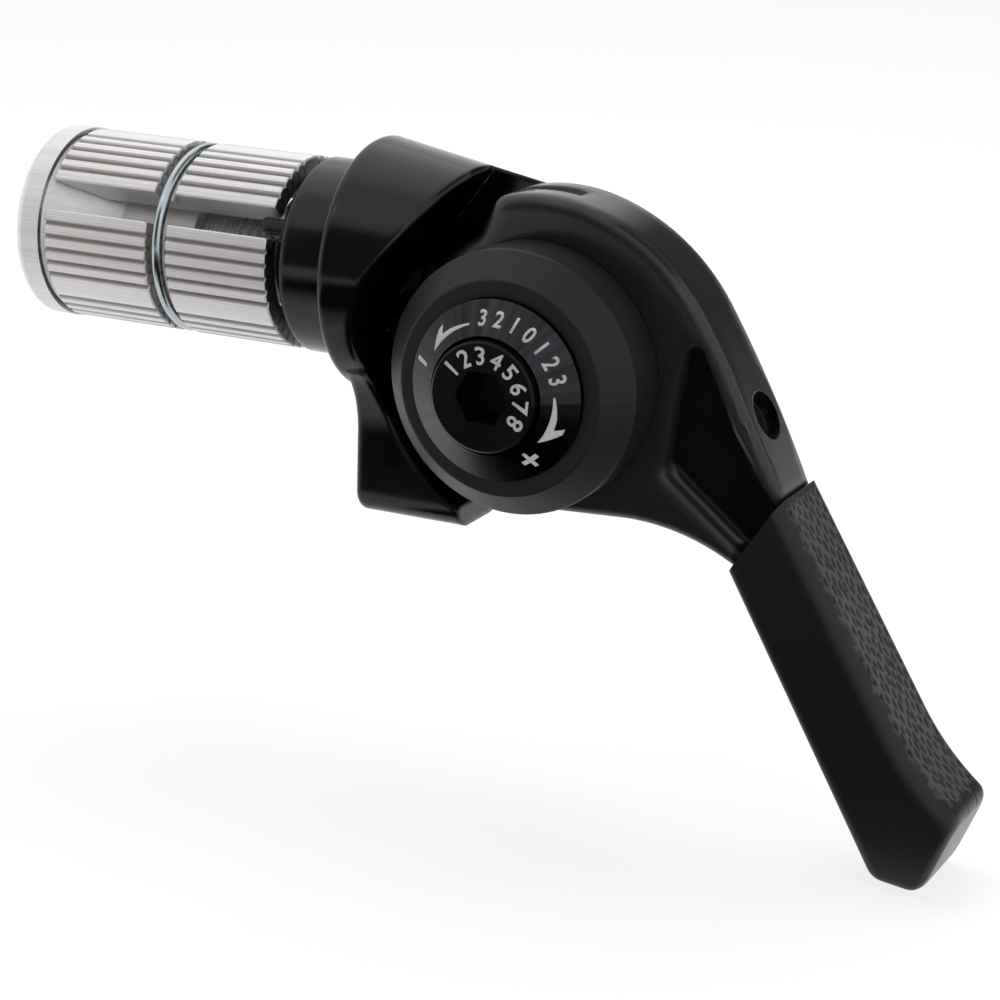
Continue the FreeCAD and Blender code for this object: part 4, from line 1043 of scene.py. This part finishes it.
def mark_points(sizes, turn, radius, height):
    """Points on the dial at a turn and a radius, raised a little above the surface there."""
    centre = pivot()
    y = height(sizes, radius) - sizes.rise
    return np.stack([centre.x + radius * np.cos(turn), y, centre.z + radius * np.sin(turn)], -1)


def strip_marks(sizes, per_side=8, across=5):
    """Bars and arrows of the ring. Each is the ruled surface (1 - v) inner(u) + v outer(u) between two rows
    of corners, given as degrees and millimetres of radius, bent over the cone."""
    v = np.linspace(0, 1, across)[None, :, None]
    for rows in RING_MARKS:
        inner, outer = (between_corners(row, per_side)[:, None] for row in rows)
        flat = inner * (1 - v) + outer * v
        points = mark_points(sizes, np.radians(flat[..., 0]), flat[..., 1] * MM, ring_height)
        yield points.reshape(-1, 3), grid_faces(*flat.shape[:2], wrap_columns=False).tolist()


def numeral_marks(sizes, numerals, arc, text, height):
    """Numerals along an arc, each bent round the axis: across becomes turn, up becomes radius."""
    middle, tall = text
    for numeral, turn in zip(numerals, np.radians(np.linspace(arc[0], arc[1], len(numerals)))):
        flat, faces = glyph_outline(numeral, tall * MM)
        radius = middle * MM + flat[:, 1]
        yield mark_points(sizes, turn - flat[:, 0] / (middle * MM), radius, height), faces


def joined(marks):
    """All marks as one list of points and faces, each face turned to look out of the dial."""
    points, faces, start = [], [], 0
    for mark, polygons in marks:
        for polygon in polygons:
            ring = mark[list(polygon)]
            area = np.cross(ring, np.roll(ring, -1, axis=0)).sum(0)
            order = polygon if area[1] < 0 else polygon[::-1]
            faces.append([start + k for k in order])
        points.append(mark)
        start += len(mark)
    return np.concatenate(points) / MM, faces


class SHIFTER_OT_marks(bpy.types.Operator):
    """Prints the plain marks and numerals on the dial's ring and cap"""

    bl_idname = "shifter.marks"
    bl_label = "Dial marks"

    def execute(self, context):
        sizes = context.scene.shifter_dial
        ring = list(strip_marks(sizes))
        ring += list(numeral_marks(sizes, RING_NUMERALS, RING_ARC, RING_TEXT, ring_height))
        cap = list(numeral_marks(sizes, CAP_NUMERALS, CAP_ARC, CAP_TEXT, cap_height))
        for name, marks, body in (("ring_marks", ring, "dial"), ("cap_marks", cap, "pod")):
            piece = new_piece(name, *joined(marks), body, "dial_gloss", finish="dial_print", sharp=None)
            film = piece.modifiers.new("film", "SOLIDIFY")
            film.thickness = sizes.film
            film.offset = -1
        return {"FINISHED"}


# Pieces carried over from the solids

class SHIFTER_OT_finishes(bpy.types.Operator):
    """Gives each carried-over solid the finish of its slot"""

    bl_idname = "shifter.finishes"
    bl_label = "Finishes"

    def execute(self, context):
        GROUPS.update(make_groups())
        make_finishes(context.scene.shifter_finish)
        for row in frame["record"]["subparts"]:
            mesh = frame["nodes"][row["node"]].data
            mesh.materials.clear()
            mesh.materials.append(MATERIALS[row["material_slot"]])
        return {"FINISHED"}


# Stage

def shown_white(tree):
    """1 for rays from the camera and for reflections and refractions, 0 for soft light."""
    path = node(tree, "LightPath")
    seen = sums(tree, "MAXIMUM", path.outputs["Is Camera Ray"], path.outputs["Is Glossy Ray"])
    return sums(tree, "MAXIMUM", seen, path.outputs["Is Transmission Ray"])


def make_world(sky):
    """White to the camera and in reflections, a softer white as a light."""
    world = bpy.data.worlds.new("studio")
    bpy.context.scene.world = world
    world.use_nodes = True
    tree = world.node_tree
    tree.nodes.clear()
    soft = node(tree, "Background", {"Color": (1, 1, 1, 1), "Strength": sky})
    white = node(tree, "Background", {"Color": (1, 1, 1, 1), "Strength": 1.0})
    mixed = node(tree, "MixShader", {0: shown_white(tree), 1: soft.outputs[0], 2: white.outputs[0]})
    leave = tree.nodes.new("ShaderNodeOutputWorld")
    tree.links.new(mixed.outputs[0], leave.inputs[0])


def stage_material(name, build, *values):
    material, tree, surface = empty_material(name)
    tree.links.new(build(tree, *values), surface)
    return material


def floor_shader(tree, glow):
    """Pale floor: part of its white is its own, so that shadows stay light."""
    grain = effect(tree, "grain", Size=20.0, Detail=2.0)
    pale = blended(tree, grain, (0.9, 0.9, 0.9, 1), (0.93, 0.93, 0.93, 1))
    matt = node(tree, "BsdfDiffuse", {"Color": pale})
    white = node(tree, "Emission", {"Color": (1, 1, 1, 1), "Strength": 1.0})
    factor = times(tree, shown_white(tree), glow)
    return node(tree, "MixShader", {0: factor, 1: matt.outputs[0], 2: white.outputs[0]}).outputs[0]


def card_shader(tree, middle, rim, strength=1.0):
    """A card that glows in one colour and fades to another towards its own edges."""
    square = parts(tree, node(tree, "TexCoord").outputs["UV"])
    sides = [sums(tree, "ABSOLUTE", sums(tree, "SUBTRACT", square[k], 0.5)) for k in (0, 1)]
    edge = ramp(tree, sums(tree, "MAXIMUM", *sides), 0.36, 0.5)
    shade = blended(tree, edge, rgba(middle), rgba(rim))
    return node(tree, "Emission", {"Color": shade, "Strength": strength}).outputs[0]


def flat_sheet(name, corners, material):
    """A four-cornered sheet with its own UV square."""
    mesh = bpy.data.meshes.new(name)
    mesh.from_pydata(corners, [], [(0, 1, 2, 3)])
    layer = mesh.uv_layers.new(name="square")
    layer.data.foreach_set("uv", [0, 0, 1, 0, 1, 1, 0, 1])
    mesh.materials.append(material)
    sheet = linked(name, mesh)
    sheet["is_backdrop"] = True
    return sheet


def level_sheet(name, x, y, z, material):
    """A level sheet over a range of x and a range of y."""
    return flat_sheet(name, [(x[0], y[0], z), (x[1], y[0], z), (x[1], y[1], z), (x[0], y[1], z)], material)


def upright_sheet(name, x, y, z, material):
    """An upright sheet over a range of x and a range of z."""
    return flat_sheet(name, [(x[0], y, z[0]), (x[1], y, z[0]), (x[1], y, z[1]), (x[0], y, z[1])], material)


def facing_sheet(name, toward, distance, size, material):
    """A square sheet in the given direction from the part, turned to face it."""
    out = Vector(toward).normalized()
    side = out.cross(Vector((0, 0, 1))).normalized() * size / 2
    up = side.cross(out).normalized() * size / 2
    middle = out * distance
    corners = [middle - side - up, middle + side - up, middle + side + up, middle - side + up]
    return flat_sheet(name, corners, material)


def make_cards(low):
    """Dark and bright cards that show only in reflections."""
    overhead, wall = 0.8, 0.6
    black, pale = (0.012, 0.009, 0.010), (0.9, 0.9, 0.9)
    dark = stage_material("dark_card", card_shader, black, pale)
    plain = stage_material("black_card", card_shader, black, black)
    grey = stage_material("grey_card", card_shader, (0.10, 0.095, 0.09), pale)
    bright = stage_material("bright_card", card_shader, (1, 1, 1), (0.7, 0.7, 0.7), 1.4)
    bluish = stage_material("bluish_card", card_shader, (0.86, 0.93, 1.0), (0.5, 0.55, 0.6), 2.6)
    cards = [
        level_sheet("lying_card", (-0.115, 0.17), (-0.35, -0.05), low + 0.0005, dark),
        level_sheet("near_card", (-0.008, 0.17), (-0.14, -0.012), low + 0.0007, plain),
        level_sheet("over_card", (0.08, 0.7), (-0.25, 0.6), overhead, grey),
        level_sheet("bright_card", (-0.8, -0.08), (-0.16, 1.2), overhead, bright),
        upright_sheet("back_card", (-0.1, 0.75), wall, (0.0, 0.75), grey),
        upright_sheet("front_card", (-0.52, 0.33), -wall, (-0.17, 0.55), grey),
    ]
    for number, toward in enumerate(((0.49, -0.74, 0.46), (-0.32, -0.57, 0.755), (0.71, -0.68, -0.12))):
        cards.append(facing_sheet("small_card_%d" % number, toward, wall, 0.11, bluish))
    for card in cards:
        for rays in ("camera", "diffuse", "shadow", "transmission"):
            setattr(card, "visible_" + rays, False)


def panel_light(name, at, aim, size, power):
    """A rectangular lamp that reflections don't show, aimed at a place."""
    lamp = bpy.data.lights.new(name, "AREA")
    lamp.shape = "RECTANGLE"
    lamp.size, lamp.size_y = size
    lamp.energy = power
    holder = linked(name, lamp)
    holder.location = at
    holder.rotation_euler = (Vector(aim) - Vector(at)).to_track_quat("-Z", "Y").to_euler()
    holder.visible_glossy = False


def make_camera(sizes):
    """Camera from its place, azimuth, elevation and roll."""
    aim = Euler((math.pi / 2 - sizes.elevation, 0, sizes.azimuth)).to_matrix().to_4x4()
    camera = bpy.data.cameras.new("camera")
    camera.lens = sizes.lens
    camera.sensor_width = SENSOR_WIDTH
    camera.clip_start = 0.01
    holder = linked("camera", camera)
    holder.matrix_world = Matrix.Translation(sizes.eye) @ aim @ Matrix.Rotation(sizes.roll, 4, "Z")
    bpy.context.scene.camera = holder


class SHIFTER_OT_stage(bpy.types.Operator):
    """Builds the floor, the cards, the lights and the camera"""

    bl_idname = "shifter.stage"
    bl_label = "Stage"

    def execute(self, context):
        sizes = context.scene.shifter_stage
        context.scene.view_settings.view_transform = "Standard"
        make_world(sizes.sky)
        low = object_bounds()[0].z - sizes.floor_drop
        pale = stage_material("pale_floor", floor_shader, sizes.floor_glow)
        level_sheet("floor", (-3, 3), (-3, 3), low, pale)
        make_cards(low)
        panel_light("key_panel", (-0.10, 0.16, 0.55), (0.01, 0, -0.01), (0.5, 0.35), sizes.key_power)
        panel_light("fill_panel", (0.5, -0.42, 0.42), (0.02, 0, -0.02), (0.35, 0.35), sizes.fill_power)
        make_camera(sizes)
        return {"FINISHED"}


# Sidebar and registration

STEPS = (
    SHIFTER_OT_finishes,
    SHIFTER_OT_shells,
    SHIFTER_OT_bolt,
    SHIFTER_OT_grip,
    SHIFTER_OT_marks,
    SHIFTER_OT_stage,
)
GROUPS_OF_SIZES = (
    ("shifter_plug", PlugSizes),
    ("shifter_grip", GripSizes),
    ("shifter_dial", DialSizes),
    ("shifter_finish", Finishes),
    ("shifter_stage", StageSizes),
)


class SHIFTER_PT_panel(bpy.types.Panel):
    """Lists the steps and the sizes"""

    bl_idname = "SHIFTER_PT_panel"
    bl_label = "Bar-end shifter"
    bl_space_type = "VIEW_3D"
    bl_region_type = "UI"
    bl_category = "Shifter"

    def draw(self, context):
        for step in STEPS:
            self.layout.operator(step.bl_idname)
        for name, group in GROUPS_OF_SIZES:
            box = self.layout.box()
            for label in group.__annotations__:
                box.prop(getattr(context.scene, name), label)


def register():
    for name, group in GROUPS_OF_SIZES:
        bpy.utils.register_class(group)
        setattr(bpy.types.Scene, name, PointerProperty(type=group))
    for step in STEPS:
        bpy.utils.register_class(step)
    bpy.utils.register_class(SHIFTER_PT_panel)


def unregister():
    bpy.utils.unregister_class(SHIFTER_PT_panel)
    for step in reversed(STEPS):
        bpy.utils.unregister_class(step)
    for name, group in reversed(GROUPS_OF_SIZES):
        delattr(bpy.types.Scene, name)
        bpy.utils.unregister_class(group)


def main():
    register()
    bpy.ops.shifter.finishes()
    bpy.ops.shifter.shells()
    bpy.ops.shifter.bolt()
    bpy.ops.shifter.grip()
    bpy.ops.shifter.marks()
    bpy.ops.shifter.stage()
    bpy.context.view_layer.update()


if __name__ == "__main__":
    main()
